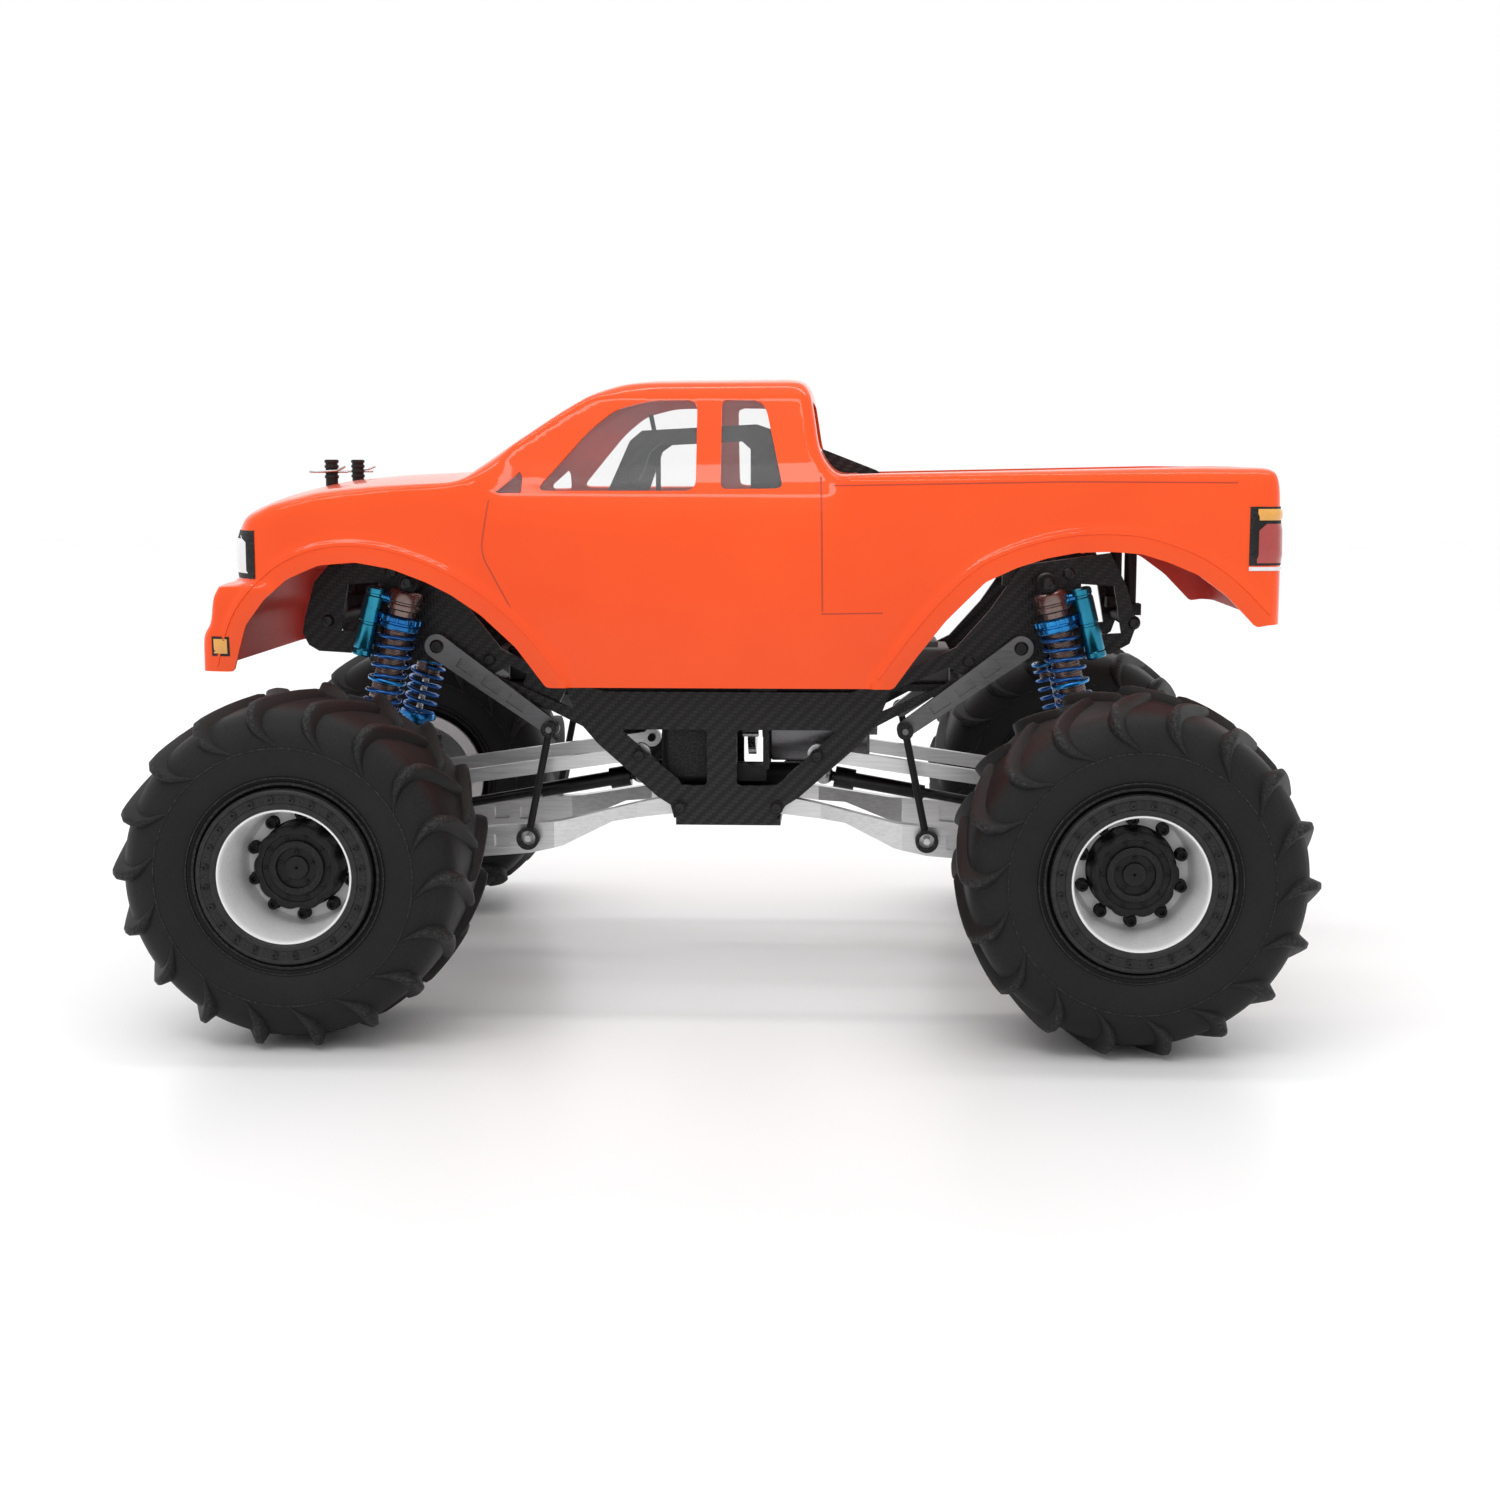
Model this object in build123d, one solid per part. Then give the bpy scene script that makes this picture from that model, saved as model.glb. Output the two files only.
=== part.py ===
from build123d import *
import os
from math import atan2, cos, hypot, pi, radians, sin

# Radio-controlled monster truck, one tenth scale.  Millimetres.
# +X is the direction of travel, +Y the truck's left and +Z up.
# The origin is on the ground, halfway between the axles.

# ---------------------------------------------------------------- driving dimensions
WHEELBASE = 368.0
TYRE_RADIUS = 78.0            # over the lugs
CARCASS_RADIUS = 73.5         # tread floor between the lugs
TYRE_OUT, TYRE_IN = 193.0, 103.0      # outer and inner sidewall, from the centre line
LUGS = 18                     # per side of the tread
BEAD_RADIUS = 37.0            # rim flange
BARREL_RADIUS = 33.5
RIM_FACE = 190.0              # outer face of the rim
DISC_FACE = 154.5             # wheel disc, deep inside the rim
RING_BOLTS = 24
RING_BOLT_CIRCLE = 34.2
HUB_BOLTS = 10
HUB_BOLT_CIRCLE = 22.4

KINGPIN_Y = 124.0
YOKE_FACE = 110.5             # the knuckle's corners swing just outside this
STEER_ARM = 18.0
AXLE_X = WHEELBASE / 2
AXLE_Z = TYRE_RADIUS
AXLE_TUBE_RADIUS = 11.0

LINK_DX, LINK_DZ = 132.0, -19.0       # every suspension link spans this, at ride height
LOWER_PIVOT = (24.0, 86.0)            # chassis end of the lower link, X and Z
UPPER_PIVOT = (44.0, 112.0)
SHAFT_JOINT = (47.0, 97.0)            # centre of the ball joint at the gearbox
PINION_JOINT = (143.0, 80.0)          # centre of the ball joint at the axle
SHOCK_TOP = (154.0, 198.0)
SHOCK_EYE = (180.0, 94.0)             # on the axle
SHOCK_Y = 55.5
SWAY_PIVOT = (143.0, 166.0)
SWAY_END = (87.0, 126.0)
DROP_END = (98.0, 72.0)               # on the lower link
SWAY_Y = (42.0, 46.5)
UPPER_Y = (28.4, 33.2)                # across the upper link
LOWER_END_Y = (42.0, 50.0)            # across the lower link's axle end
SERVO_PIVOT = (196.0, 30.0)           # X and Y of the servo's output shaft

PLATE_Y = (36.5, 40.0)                # chassis side plates
CAGE_Y = (33.5, 36.5)                 # roll cage plates, against the side plates' inner faces
SKID_Z = (77.0, 80.5)
DECK_Z = (143.5, 146.0)               # electronics deck

GEAR_MODULE = 0.7
SPUR_TEETH, MOTOR_TEETH = 50, 16
GEAR_GAP = GEAR_MODULE * (SPUR_TEETH + MOTOR_TEETH) / 2
SPUR_Y, SPUR_Z = -12.0, 124.0
MOTOR_Y = SPUR_Y + GEAR_GAP
MOTOR_RADIUS = 18.0

BODY_HALF = 97.5
SKIN = 1.6
POST_Y = 29.0
POST_X = 197.0
SHELF_Z = 222.0                       # tail shelf, which the rear posts hold


# ---------------------------------------------------------------- helpers
def outline(points):
    return make_face(Polyline(*[(a, b) for a, b in points], close=True))


def side_cut(face, y0, y1):
    """A face drawn in X and Z, made solid from y0 to y1."""
    return extrude(Plane.XZ.offset(-y1) * face, amount=y1 - y0)


def plate(points, y0, y1):
    return side_cut(outline(points), y0, y1)


def rod(a, b, radius):
    axis = Vector(*b) - Vector(*a)
    return extrude(Plane(origin=a, z_dir=axis) * Circle(radius), amount=axis.length)


def across(x, z, y0, y1, radius):
    return rod((x, y0, z), (x, y1, z), radius)


def block(x0, x1, y0, y1, z0, z1, corner=0.0):
    solid = Pos((x0 + x1) / 2, (y0 + y1) / 2, (z0 + z1) / 2) * Box(x1 - x0, y1 - y0, z1 - z0)
    return fillet(solid.edges(), corner) if corner else solid


def spun(points):
    """A section in radius and Y, turned about the Y axis."""
    return revolve(outline(points), Axis.Y)


def right_of(shape):
    return mirror(shape, about=Plane.XZ)


def rear_of(shape):
    return mirror(shape, about=Plane.YZ)


def both_sides(shape):
    return [shape, right_of(shape)]


def save(name, *shapes):
    solids = [solid for shape in shapes for solid in shape.solids()]
    export_step(Compound(solids) if len(solids) > 1 else solids[0], f"parts/{name}.step")


def save_ends(name, shapes):
    """One node at the front and its mirror image at the rear."""
    save(f"front_{name}", *shapes)
    save(f"rear_{name}", *[rear_of(shape) for shape in shapes])


def link_end(pivot):
    return (pivot[0] + LINK_DX, pivot[1] + LINK_DZ)


# ---------------------------------------------------------------- wheels
def tyre():
    """Left front tyre about its own axis, which is the Y axis."""
    half = (TYRE_OUT - TYRE_IN) / 2
    middle = (TYRE_OUT + TYRE_IN) / 2
    outer = [(37.3, 37.5), (45, 42.5), (56, 45), (66, 42.5), (71.5, 38), (CARCASS_RADIUS, 32)]
    inner = [(70, 31), (68.5, 36), (64, 39.2), (56, 41.2), (46, 38.8), (40, 35.8), (37.3, 32.5)]
    bead = [(BARREL_RADIUS + 0.1, 32.5), (BARREL_RADIUS + 0.1, 36.3), (37.3, 36.3)]
    loop = [(r, y) for r, y in outer] + [(r, -y) for r, y in reversed(outer)]
    loop += [(r, -y) for r, y in reversed(bead)] + [(r, -y) for r, y in reversed(inner)]
    loop += [(r, y) for r, y in inner] + [(r, y) for r, y in bead]
    carcass = spun(loop)
    shoulder = [(60, 44.8), (67, half - 1), (73, 42), (TYRE_RADIUS, 36)]
    envelope = spun(shoulder + [(r, -y) for r, y in reversed(shoulder)])
    lug = Pos(0, 20.5, CARCASS_RADIUS) * Rot(0, 0, 24) * Box(10.5, 44, 11)
    lugs = [Rot(0, i * 360 / LUGS, 0) * lug for i in range(LUGS)]
    other = [Rot(0, 180 / LUGS, 0) * right_of(one) for one in lugs]
    tread = (Part() + lugs + other) & envelope
    return Pos(0, middle, 0) * (carcass + tread)


def rim():
    """Left rim: hub, disc, deep barrel and the two bead flanges."""
    return spun([(4.1, 146), (10, 146), (10, 150), (31, 150), (31, 104.5), (BEAD_RADIUS, 104.5),
                 (BEAD_RADIUS, 107.5), (BARREL_RADIUS, 109.5), (BARREL_RADIUS, 184.5),
                 (BEAD_RADIUS, 186.5), (BEAD_RADIUS, RIM_FACE), (29.6, RIM_FACE),
                 (26, DISC_FACE), (4.1, DISC_FACE)])


def ring_of_bolts(count, circle, radius, y0, y1):
    bolt = across(0, circle, y0, y1, radius)
    return [Rot(0, (i + 0.5) * 360 / count, 0) * bolt for i in range(count)]


def wheel_hardware():
    """Beadlock ring, hub cap, their bolts, and the stub axle that the wheel turns on."""
    ring = spun([(29.6, RIM_FACE), (38.6, RIM_FACE), (38.6, RIM_FACE + 1.2), (37.6, RIM_FACE + 2),
                 (30.6, RIM_FACE + 2), (29.6, RIM_FACE + 1)])
    ring += ring_of_bolts(RING_BOLTS, RING_BOLT_CIRCLE, 1.7, RIM_FACE + 1, RIM_FACE + 3)
    cap = spun([(0, DISC_FACE), (24.8, DISC_FACE), (24.8, DISC_FACE + 0.8), (19.6, DISC_FACE + 0.8),
                (19.4, DISC_FACE + 12.5), (17, DISC_FACE + 14), (0, DISC_FACE + 14.4)])
    cap += ring_of_bolts(HUB_BOLTS, HUB_BOLT_CIRCLE, 2.2, DISC_FACE + 0.5, DISC_FACE + 5.2)
    stub = across(0, 0, 128, DISC_FACE, 4.0)
    return [ring, cap + stub]


def save_wheels():
    left = {"tyre": [tyre()], "rim": [rim()], "wheel_hardware": wheel_hardware()}
    for name, shapes in left.items():
        for end, x in (("front", AXLE_X), ("rear", -AXLE_X)):
            placed = [Pos(x, 0, AXLE_Z) * shape for shape in shapes]
            save(f"{name}_{end}_left", *placed)
            save(f"{name}_{end}_right", *[right_of(shape) for shape in placed])


# ---------------------------------------------------------------- chassis
def side_plate():
    """Left side plate: a deep middle, two swept arms and a shock tower at each end."""
    lower = [(-24, 80.5), (27, 80.5), (28.6, 87), (35, 91), (64.6, 117.4), (72, 126), (100, 140),
             (140, 157), (186, 162), (203, 163), (208, 166), (211, 172), (209.5, 180),
             (204.5, 197), (197.6, 205)]
    top = [(166, 208), (143, 204), (128, 184), (112, 164), (84, 150), (60, 143.3),
           (-60, 143.3), (-84, 152), (-112, 166), (-128, 184), (-143, 206), (-186, 212)]
    tail = [(-194, 196), (-199.5, 178), (-196, 168), (-187, 163), (-140, 158), (-100, 141),
            (-72, 126), (-64.6, 117.4), (-35, 91), (-28.6, 87)]
    solid = plate(lower + top + tail, *PLATE_Y)
    windows = [[(38.5, 121), (14, 121), (14, 97), (23, 97)],
               [(-8, 121), (-44, 121), (-23, 97), (-8, 97)]]
    for end in (1, -1):
        windows += [[(end * 172, 172), (end * 192, 173), (end * 188, 196), (end * 172, 197)],
                    [(end * 76, 134), (end * 116, 152), (end * 108, 156), (end * 80, 144)]]
    for window in windows:
        solid -= plate(window, 0, 60)
    for end in (1, -1):
        solid -= across(end * SWAY_PIVOT[0], SWAY_PIVOT[1], 0, 60, 3.05)
    return solid


def cage_plate():
    """Front post, top rail, rear post and the brace that runs back over the bed."""
    outer = [(106, 138), (86, 133), (78, 150), (38, 261), (33, 264.5), (-6, 266.5),
             (-11, 262), (-11, 128), (-24, 128), (-24, 250), (-134, 206), (-134, 196),
             (-147, 196), (-147, 209), (-72, 252), (-23, 271), (-14, 274), (42, 271), (48, 266)]
    return plate(outer, *CAGE_Y)


def frame_spacers():
    """Standoffs that tie the left and right plates together."""
    places = [(end * x, z) for end in (1, -1) for x, z in ((198, 178), (166, 202), (118, 159))]
    tubes = [across(x, z, -PLATE_Y[0], PLATE_Y[0], 3.5) for x, z in places]
    return tubes + [across(x, 268.5, -CAGE_Y[0], CAGE_Y[0], 2) for x in (36, -16)]


def gearbox_case():
    """Case and its output bosses, the mounts between the side plates, and the motor's plate."""
    case = block(1, 34, -30, 30, 96, 141, 4) + block(1, 34, -21, 21, SKID_Z[1], 100, 2)
    case += rod((-38, 0, 97), (5, 0, 97), 6.4) + rod((30, 0, 97), (38, 0, 97), 7.5)
    for x0 in (-16, 3):
        case += block(x0, x0 + 10, -PLATE_Y[0], PLATE_Y[0], SKID_Z[1], 94)
    case -= rod((-1, SPUR_Y, SPUR_Z), (20, SPUR_Y, SPUR_Z), 2.55)
    motor_plate = block(-20, -17, -4, 33, 104, 143)
    motor_plate -= rod((-25, MOTOR_Y, SPUR_Z), (-10, MOTOR_Y, SPUR_Z), 7)
    arm = block(-18.5, 3, 24, 32, 98, 106)
    return case + motor_plate + arm


def motor():
    """Motor can with its front boss and rear bearing cap."""
    can = rod((-70, MOTOR_Y, SPUR_Z), (-20, MOTOR_Y, SPUR_Z), MOTOR_RADIUS)
    can = chamfer(can.edges(), 1.2)
    boss = rod((-20, MOTOR_Y, SPUR_Z), (-16, MOTOR_Y, SPUR_Z), 6.5)
    tail = rod((-74, MOTOR_Y, SPUR_Z), (-70, MOTOR_Y, SPUR_Z), 5)
    return can + boss + tail


def gear(teeth, bore, width, addendum=0.9, slack=0.14):
    """Involute spur gear about the X axis, with a tooth on +Y, from x = 0 to x = width."""
    pitch = GEAR_MODULE * teeth / 2
    base = pitch * cos(radians(20))
    tip = pitch + addendum * GEAR_MODULE
    root = pitch - 1.2 * GEAR_MODULE

    def half_angle(r):
        def involute(radius):
            roll = (max(radius / base, 1) ** 2 - 1) ** 0.5
            return roll - atan2(roll, 1)
        return (pi * GEAR_MODULE / 2 - slack) / (2 * pitch) + involute(pitch) - involute(r)

    flank = [root] + [max(base, root) + (tip - max(base, root)) * i / 4 for i in range(5)]
    side = [(r, half_angle(r)) for r in flank]
    points = []
    for i in range(teeth):
        centre = 2 * pi * i / teeth
        polar = [(r, centre - a) for r, a in side] + [(r, centre + a) for r, a in reversed(side)]
        points += [(r * cos(a), r * sin(a)) for r, a in polar]
    face = outline([p for k, p in enumerate(points) if k == 0 or p != points[k - 1]])
    return extrude(Plane.YZ * (face - Circle(bore)), amount=width)


def drivetrain_gears():
    """The spur gear with its hub and shaft, and the motor's pinion, half a tooth round to mesh."""
    spur = Pos(-12, SPUR_Y, SPUR_Z) * gear(SPUR_TEETH, 2.4, 4)
    spur += rod((-13, SPUR_Y, SPUR_Z), (0, SPUR_Y, SPUR_Z), 6)
    spur += rod((-13, SPUR_Y, SPUR_Z), (19, SPUR_Y, SPUR_Z), 2.5)
    half_tooth = 180 / MOTOR_TEETH
    pinion = Pos(-14, MOTOR_Y, SPUR_Z) * Rot(half_tooth, 0, 0) * gear(MOTOR_TEETH, 1.0, 8)
    pinion += rod((-15.5, MOTOR_Y, SPUR_Z), (-5, MOTOR_Y, SPUR_Z), 2)
    return spur, pinion


# ---------------------------------------------------------------- electronics
def electronics():
    """The deck, and on it the strapped battery, speed controller, receiver box and antenna."""
    deck = block(-116, 116, -CAGE_Y[0], CAGE_Y[0], *DECK_Z)
    for side in (1, -1):
        deck += block(-70, 70, side * 27 - 1.5, side * 27 + 1.5, DECK_Z[1] - 0.5, DECK_Z[1] + 9)
    straps = []
    for x in (-38, 38):
        strap = block(x - 8, x + 8, -25.3, 25.3, 171.6, 172.8)
        for side in both_sides(block(x - 8, x + 8, 24.1, 25.3, DECK_Z[1], 172.8)):
            strap += side
        straps.append(strap)
    battery = block(-69, 69, -24, 24, 146.2, 171.5, 2)
    controller = block(77, 112, -18, 18, 146, 164, 1.5)
    for i in range(6):
        controller += block(80 + i * 5.2, 82 + i * 5.2, -15, 15, 163, 171)
    receiver = block(-110, -78, -20, 20, 146, 164, 2)
    receiver += block(-104, -84, -14, 14, 163, 167, 1)
    save("battery_tray", deck, *straps)
    save("battery", battery)
    save("speed_controller", controller)
    save("receiver_box", receiver)
    base, bend, tip = (40, -31, DECK_Z[1]), (40, -31, 262), (43.5, -29, 280)
    whip = rod(base, bend, 1.3) + Pos(*bend) * Sphere(1.3) + rod(bend, tip, 1.2)
    save("antenna", whip + rod(base, (40, -31, 154), 2.3))


# ---------------------------------------------------------------- suspension, drawn for the front left
def lower_link():
    """A billet arm: slim at the chassis, deep where the drop link bolts on."""
    x0, z0 = LOWER_PIVOT
    x1, z1 = link_end(LOWER_PIVOT)
    deep = [(x0 + 8, z0 + 3.6), (x0, z0 + 4), (x0 - 4, z0), (x0, z0 - 4), (x0 + 34, z0 - 8),
            (82, 67), (98, 63.5), (x1 - 22, 60.5), (x1 + 1, z1 - 5.5), (x1 + 5.5, z1),
            (x1 + 1, z1 + 5.5), (x1 - 12, z1 + 7), (x1 - 40, 76.5), (82, 79.5)]
    solid = plate(deep, 24, 52)
    plan = [(x0 - 6, 26), (44, 26), (88, 40), (x1 - 14, 40), (x1 - 10, 42), (x1 + 7, 42),
            (x1 + 7, 50), (x1 - 12, 50), (x1 - 16, 46.8), (86, 46.8), (46, 33), (x0 - 6, 33)]
    solid &= extrude(Pos(0, 0, 40) * outline(plan), amount=80)
    solid -= across(x0, z0, 0, 60, 2.05) + across(x1, z1, 0, 60, 2.05)
    for x in (112, 126):
        solid -= plate([(x - 4, 66.5), (x + 4, 66), (x + 4, 72.5), (x - 4, 73.5)], 30, 60)
    return solid + across(DROP_END[0], DROP_END[1], 44, 56, 1.6)


def upper_link():
    """A straight bar with an eye at each end."""
    (x0, z0), (x1, z1) = UPPER_PIVOT, link_end(UPPER_PIVOT)
    edge = [(x0, z0 + 3.4), (x1, z1 + 3.4), (x1, z1 - 3.4), (x0, z0 - 3.4)]
    link = plate(edge, *UPPER_Y)
    for x, z in ((x0, z0), (x1, z1)):
        link += across(x, z, *UPPER_Y, 4.8)
        link -= across(x, z, 0, 60, 2.05)
    return link


def chassis_pins():
    """Bolts through the side plates that the links and the shocks turn on."""
    pins = []
    for end in (1, -1):
        for (x, z), inner, outer in ((LOWER_PIVOT, 25, 41.5), (UPPER_PIVOT, 26, 41.5),
                                     (SHOCK_TOP, PLATE_Y[1], SHOCK_Y + 7)):
            pins.append(across(end * x, z, inner, outer, 2))
            pins.append(across(end * x, z, outer - 1.5, outer, 3.4))
    return pins


def toward(a, b, distance):
    """The point a given distance from a towards b, in X and Z."""
    length = hypot(b[0] - a[0], b[1] - a[1])
    return (a[0] + (b[0] - a[0]) * distance / length, a[1] + (b[1] - a[1]) * distance / length)


def on_shock(distance, y=SHOCK_Y, out=0.0):
    """A point on the shock's axis, moved away from the axis by out."""
    x, z = toward(SHOCK_TOP, SHOCK_EYE, distance)
    length = hypot(SHOCK_EYE[0] - SHOCK_TOP[0], SHOCK_EYE[1] - SHOCK_TOP[1])
    nx = -(SHOCK_EYE[1] - SHOCK_TOP[1]) / length
    nz = (SHOCK_EYE[0] - SHOCK_TOP[0]) / length
    return (x + nx * out, y, z + nz * out)


SHOCK_LENGTH = hypot(SHOCK_EYE[0] - SHOCK_TOP[0], SHOCK_EYE[1] - SHOCK_TOP[1])
SPRING_TOP, SPRING_END = 24.0, 78.0    # distances along the shock


def shock_body():
    body = rod(on_shock(4.4), on_shock(58), 6.5) + rod(on_shock(4.4), on_shock(11), 8)
    body += rod(on_shock(SPRING_TOP - 6), on_shock(SPRING_TOP), 9.6)
    body += across(*SHOCK_TOP, SHOCK_Y - 4.5, SHOCK_Y + 4.5, 5)
    body += rod(on_shock(6, out=15), on_shock(40, out=15), 5)
    body += rod(on_shock(10), on_shock(10, out=15), 3)
    body -= across(*SHOCK_TOP, 30, 80, 2.05)
    return body - rod(on_shock(14), on_shock(59), 5.2)


def shock_shaft():
    shaft = rod(on_shock(36), on_shock(SHOCK_LENGTH - 5), 1.8) + rod(on_shock(36), on_shock(40), 5.0)
    shaft += rod(on_shock(SPRING_END), on_shock(SPRING_END + 3.5), 9.8)
    shaft += rod(on_shock(SPRING_END + 3), on_shock(SHOCK_LENGTH - 4), 3.2)
    shaft += across(*SHOCK_EYE, SHOCK_Y - 3.5, SHOCK_Y + 3.5, 5)
    return shaft - across(*SHOCK_EYE, 30, 80, 2.6)


def shock_spring():
    sleeve = rod(on_shock(SPRING_TOP), on_shock(SPRING_END), 9.4)
    return sleeve - rod(on_shock(SPRING_TOP), on_shock(SPRING_END), 7.4)


def sway_arm():
    a, b = SWAY_PIVOT, SWAY_END
    ux, uz = toward((0, 0), (b[0] - a[0], b[1] - a[1]), 1)
    edge = [(a[0] - uz * 6, a[1] + ux * 6), (b[0] - uz * 4, b[1] + ux * 4),
            (b[0] + uz * 4, b[1] - ux * 4), (a[0] + uz * 6, a[1] - ux * 6)]
    arm = plate(edge, *SWAY_Y) + across(*a, *SWAY_Y, 6) + across(*b, *SWAY_Y, 4)
    for start in (13, 28, 43):
        p, q = toward(a, b, start), toward(a, b, start + 10)
        arm -= plate([(p[0] - uz * 2.4, p[1] + ux * 2.4), (q[0] - uz * 2.2, q[1] + ux * 2.2),
                      (q[0] + uz * 2.2, q[1] - ux * 2.2), (p[0] + uz * 2.4, p[1] - ux * 2.4)], 30, 60)
    return arm + across(*b, SWAY_Y[1] - 1, 56, 1.5)


def drop_link():
    y = 53
    top, end = (SWAY_END[0], y, SWAY_END[1]), (DROP_END[0], y, DROP_END[1])
    link = rod(top, end, 1.8)
    link += across(*SWAY_END, y - 2.5, y + 2.5, 4) + across(*DROP_END, y - 2.5, y + 2.5, 5.6)
    return link - across(*SWAY_END, 40, 70, 1.55) - across(*DROP_END, 40, 70, 3.8)


def save_suspension():
    for name, left in (("lower_links", lower_link()), ("upper_links", upper_link()),
                       ("shock_bodies", shock_body()), ("shock_shafts", shock_shaft()),
                       ("shock_springs", shock_spring()), ("sway_links", drop_link())):
        save_ends(name, both_sides(left))
    bar = across(*SWAY_PIVOT, -SWAY_Y[1], SWAY_Y[1], 3.0)
    arms = both_sides(sway_arm())
    save_ends("sway_arms", [bar + arms[0] + arms[1]])


# ---------------------------------------------------------------- axles, drawn at the front
def clevis(pivot, y0, y1, foot):
    """Two ears on the axle either side of a link's eye, and the bolt between them."""
    x, z = pivot
    ears = across(x, z, y0 - 3, y1 + 3, 2)
    for a, b in ((y0 - 3, y0 - 0.4), (y1 + 0.4, y1 + 3)):
        ears += across(x, z, a, b, 4.8) + plate(foot, a, b)
    return ears


def axle_housing(front):
    """Diff case, axle tubes, and the brackets for the links and shocks."""
    tube_end = 108 if front else 126
    low, up = link_end(LOWER_PIVOT), link_end(UPPER_PIVOT)
    low_foot = [(low[0] - 2, low[1] - 4.5), (AXLE_X, AXLE_Z - 10), (AXLE_X - 6, AXLE_Z + 5),
                (low[0] - 2, low[1] + 4.5)]
    up_foot = [(up[0] - 4.6, up[1]), (up[0] + 4.6, up[1]), (AXLE_X + 4, AXLE_Z), (AXLE_X - 9, AXLE_Z)]
    eye_foot = [(SHOCK_EYE[0] - 4.6, SHOCK_EYE[1]), (SHOCK_EYE[0] + 4.6, SHOCK_EYE[1]),
                (AXLE_X + 6, AXLE_Z), (AXLE_X - 9, AXLE_Z)]
    body = across(AXLE_X, AXLE_Z, -tube_end, tube_end, AXLE_TUBE_RADIUS)
    body += across(AXLE_X - 8, AXLE_Z, -19, 14, 20)
    body += rod((AXLE_X - 24, 0, PINION_JOINT[1]), (AXLE_X - 34, 0, PINION_JOINT[1]), 10)
    for side in both_sides(clevis(low, *LOWER_END_Y, low_foot) + clevis(up, *UPPER_Y, up_foot)
                           + clevis(SHOCK_EYE, SHOCK_Y - 3.5, SHOCK_Y + 3.5, eye_foot)):
        body += side
    if front:
        body += both_sides(steering_yoke())
        body += block(186, 194, -4, 4, 90, 98) + block(184, 194, 36.6, 39.6, 82, 98)
    for side in both_sides(across(AXLE_X, AXLE_Z, 60, 140, 6 if front else 4.06)):
        body -= side
    return body - rod((AXLE_X - 40, 0, PINION_JOINT[1]), (AXLE_X - 20, 0, PINION_JOINT[1]), 3.05)


def steering_yoke():
    """Arms above and below the knuckle, with the kingpins."""
    low, high = AXLE_Z - 22, AXLE_Z + 22
    yoke = block(AXLE_X - 9, AXLE_X + 9, 104, YOKE_FACE, low, high)
    arms = ((low, low + 4.6, low + 4, low + 7.5), (high - 4.6, high, high - 7.5, high - 4))
    for z0, z1, pin0, pin1 in arms:
        yoke += block(AXLE_X - 9, AXLE_X + 9, YOKE_FACE - 1, 131, z0, z1)
        yoke += rod((AXLE_X, KINGPIN_Y, pin0), (AXLE_X, KINGPIN_Y, pin1), 3)
    return yoke


def knuckle():
    """Steering knuckle with its stub bore, and the arm with the tie rod's stud."""
    ball_x = AXLE_X + STEER_ARM
    arm_z = AXLE_Z - 9
    solid = block(AXLE_X - 8.5, AXLE_X + 8.5, 114.2, 138, AXLE_Z - 16.8, AXLE_Z + 16.8, 2)
    solid += across(AXLE_X, AXLE_Z, 136, 144, 11)
    solid += block(AXLE_X + 6, ball_x, KINGPIN_Y - 3.5, KINGPIN_Y + 3.5, arm_z, arm_z + 4.4)
    solid += rod((ball_x, KINGPIN_Y, arm_z), (ball_x, KINGPIN_Y, arm_z + 4.4), 3.5)
    solid += rod((ball_x, KINGPIN_Y, arm_z + 4), (ball_x, KINGPIN_Y, AXLE_Z + 3.4), 1.5)
    for z in (AXLE_Z - 17, AXLE_Z + 17):
        solid -= rod((AXLE_X, KINGPIN_Y, z - 3), (AXLE_X, KINGPIN_Y, z + 3), 3.05)
    return solid - across(AXLE_X, AXLE_Z, 110, 150, 4.06)


def steering_parts():
    """Servo, horn, drag link and tie rod.  Horn and knuckle arms are equal and parallel."""
    px, py = SERVO_PIVOT
    servo = block(px - 10, px + 10, py - 30, py + 10, 98, 136, 1)
    servo += block(px - 10, px + 10, py - 37, py + 17, 124, 127)
    servo += rod((px, py, 92), (px, py, 99), 2.5)
    ball_x = px + STEER_ARM
    horn = block(px, ball_x, py - 3, py + 3, 91.5, 94.5) + rod((px, py, 91.5), (px, py, 97.5), 4)
    horn += rod((ball_x, py, 91.5), (ball_x, py, 94.5), 3) + rod((ball_x, py, 84.5), (ball_x, py, 92), 1.5)
    horn -= rod((px, py, 90), (px, py, 99), 2.55)
    drag = rod((ball_x, -60, 87.5), (ball_x, py, 87.5), 2)
    for y in (-60, py):
        drag += rod((ball_x, y, 85), (ball_x, y, 90), 4)
    for y in (-60, py):
        drag -= rod((ball_x, y, 80), (ball_x, y, 95), 1.55)
    rod_x = AXLE_X + STEER_ARM
    tie = rod((rod_x, 3 - KINGPIN_Y, AXLE_Z), (rod_x, KINGPIN_Y - 3, AXLE_Z), 2.3)
    for y in (-KINGPIN_Y, KINGPIN_Y):
        eye = rod((rod_x, y, AXLE_Z - 2.6), (rod_x, y, AXLE_Z + 2.6), 4.5)
        tie += eye
        tie -= rod((rod_x, y, AXLE_Z - 5), (rod_x, y, AXLE_Z + 5), 1.55)
    tie += block(rod_x - 4, ball_x + 4, -64, -56, AXLE_Z - 3.5, AXLE_Z + 3.5)
    tie += rod((ball_x, -60, AXLE_Z + 2), (ball_x, -60, 91), 1.5)
    return servo, horn, drag, tie


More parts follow.
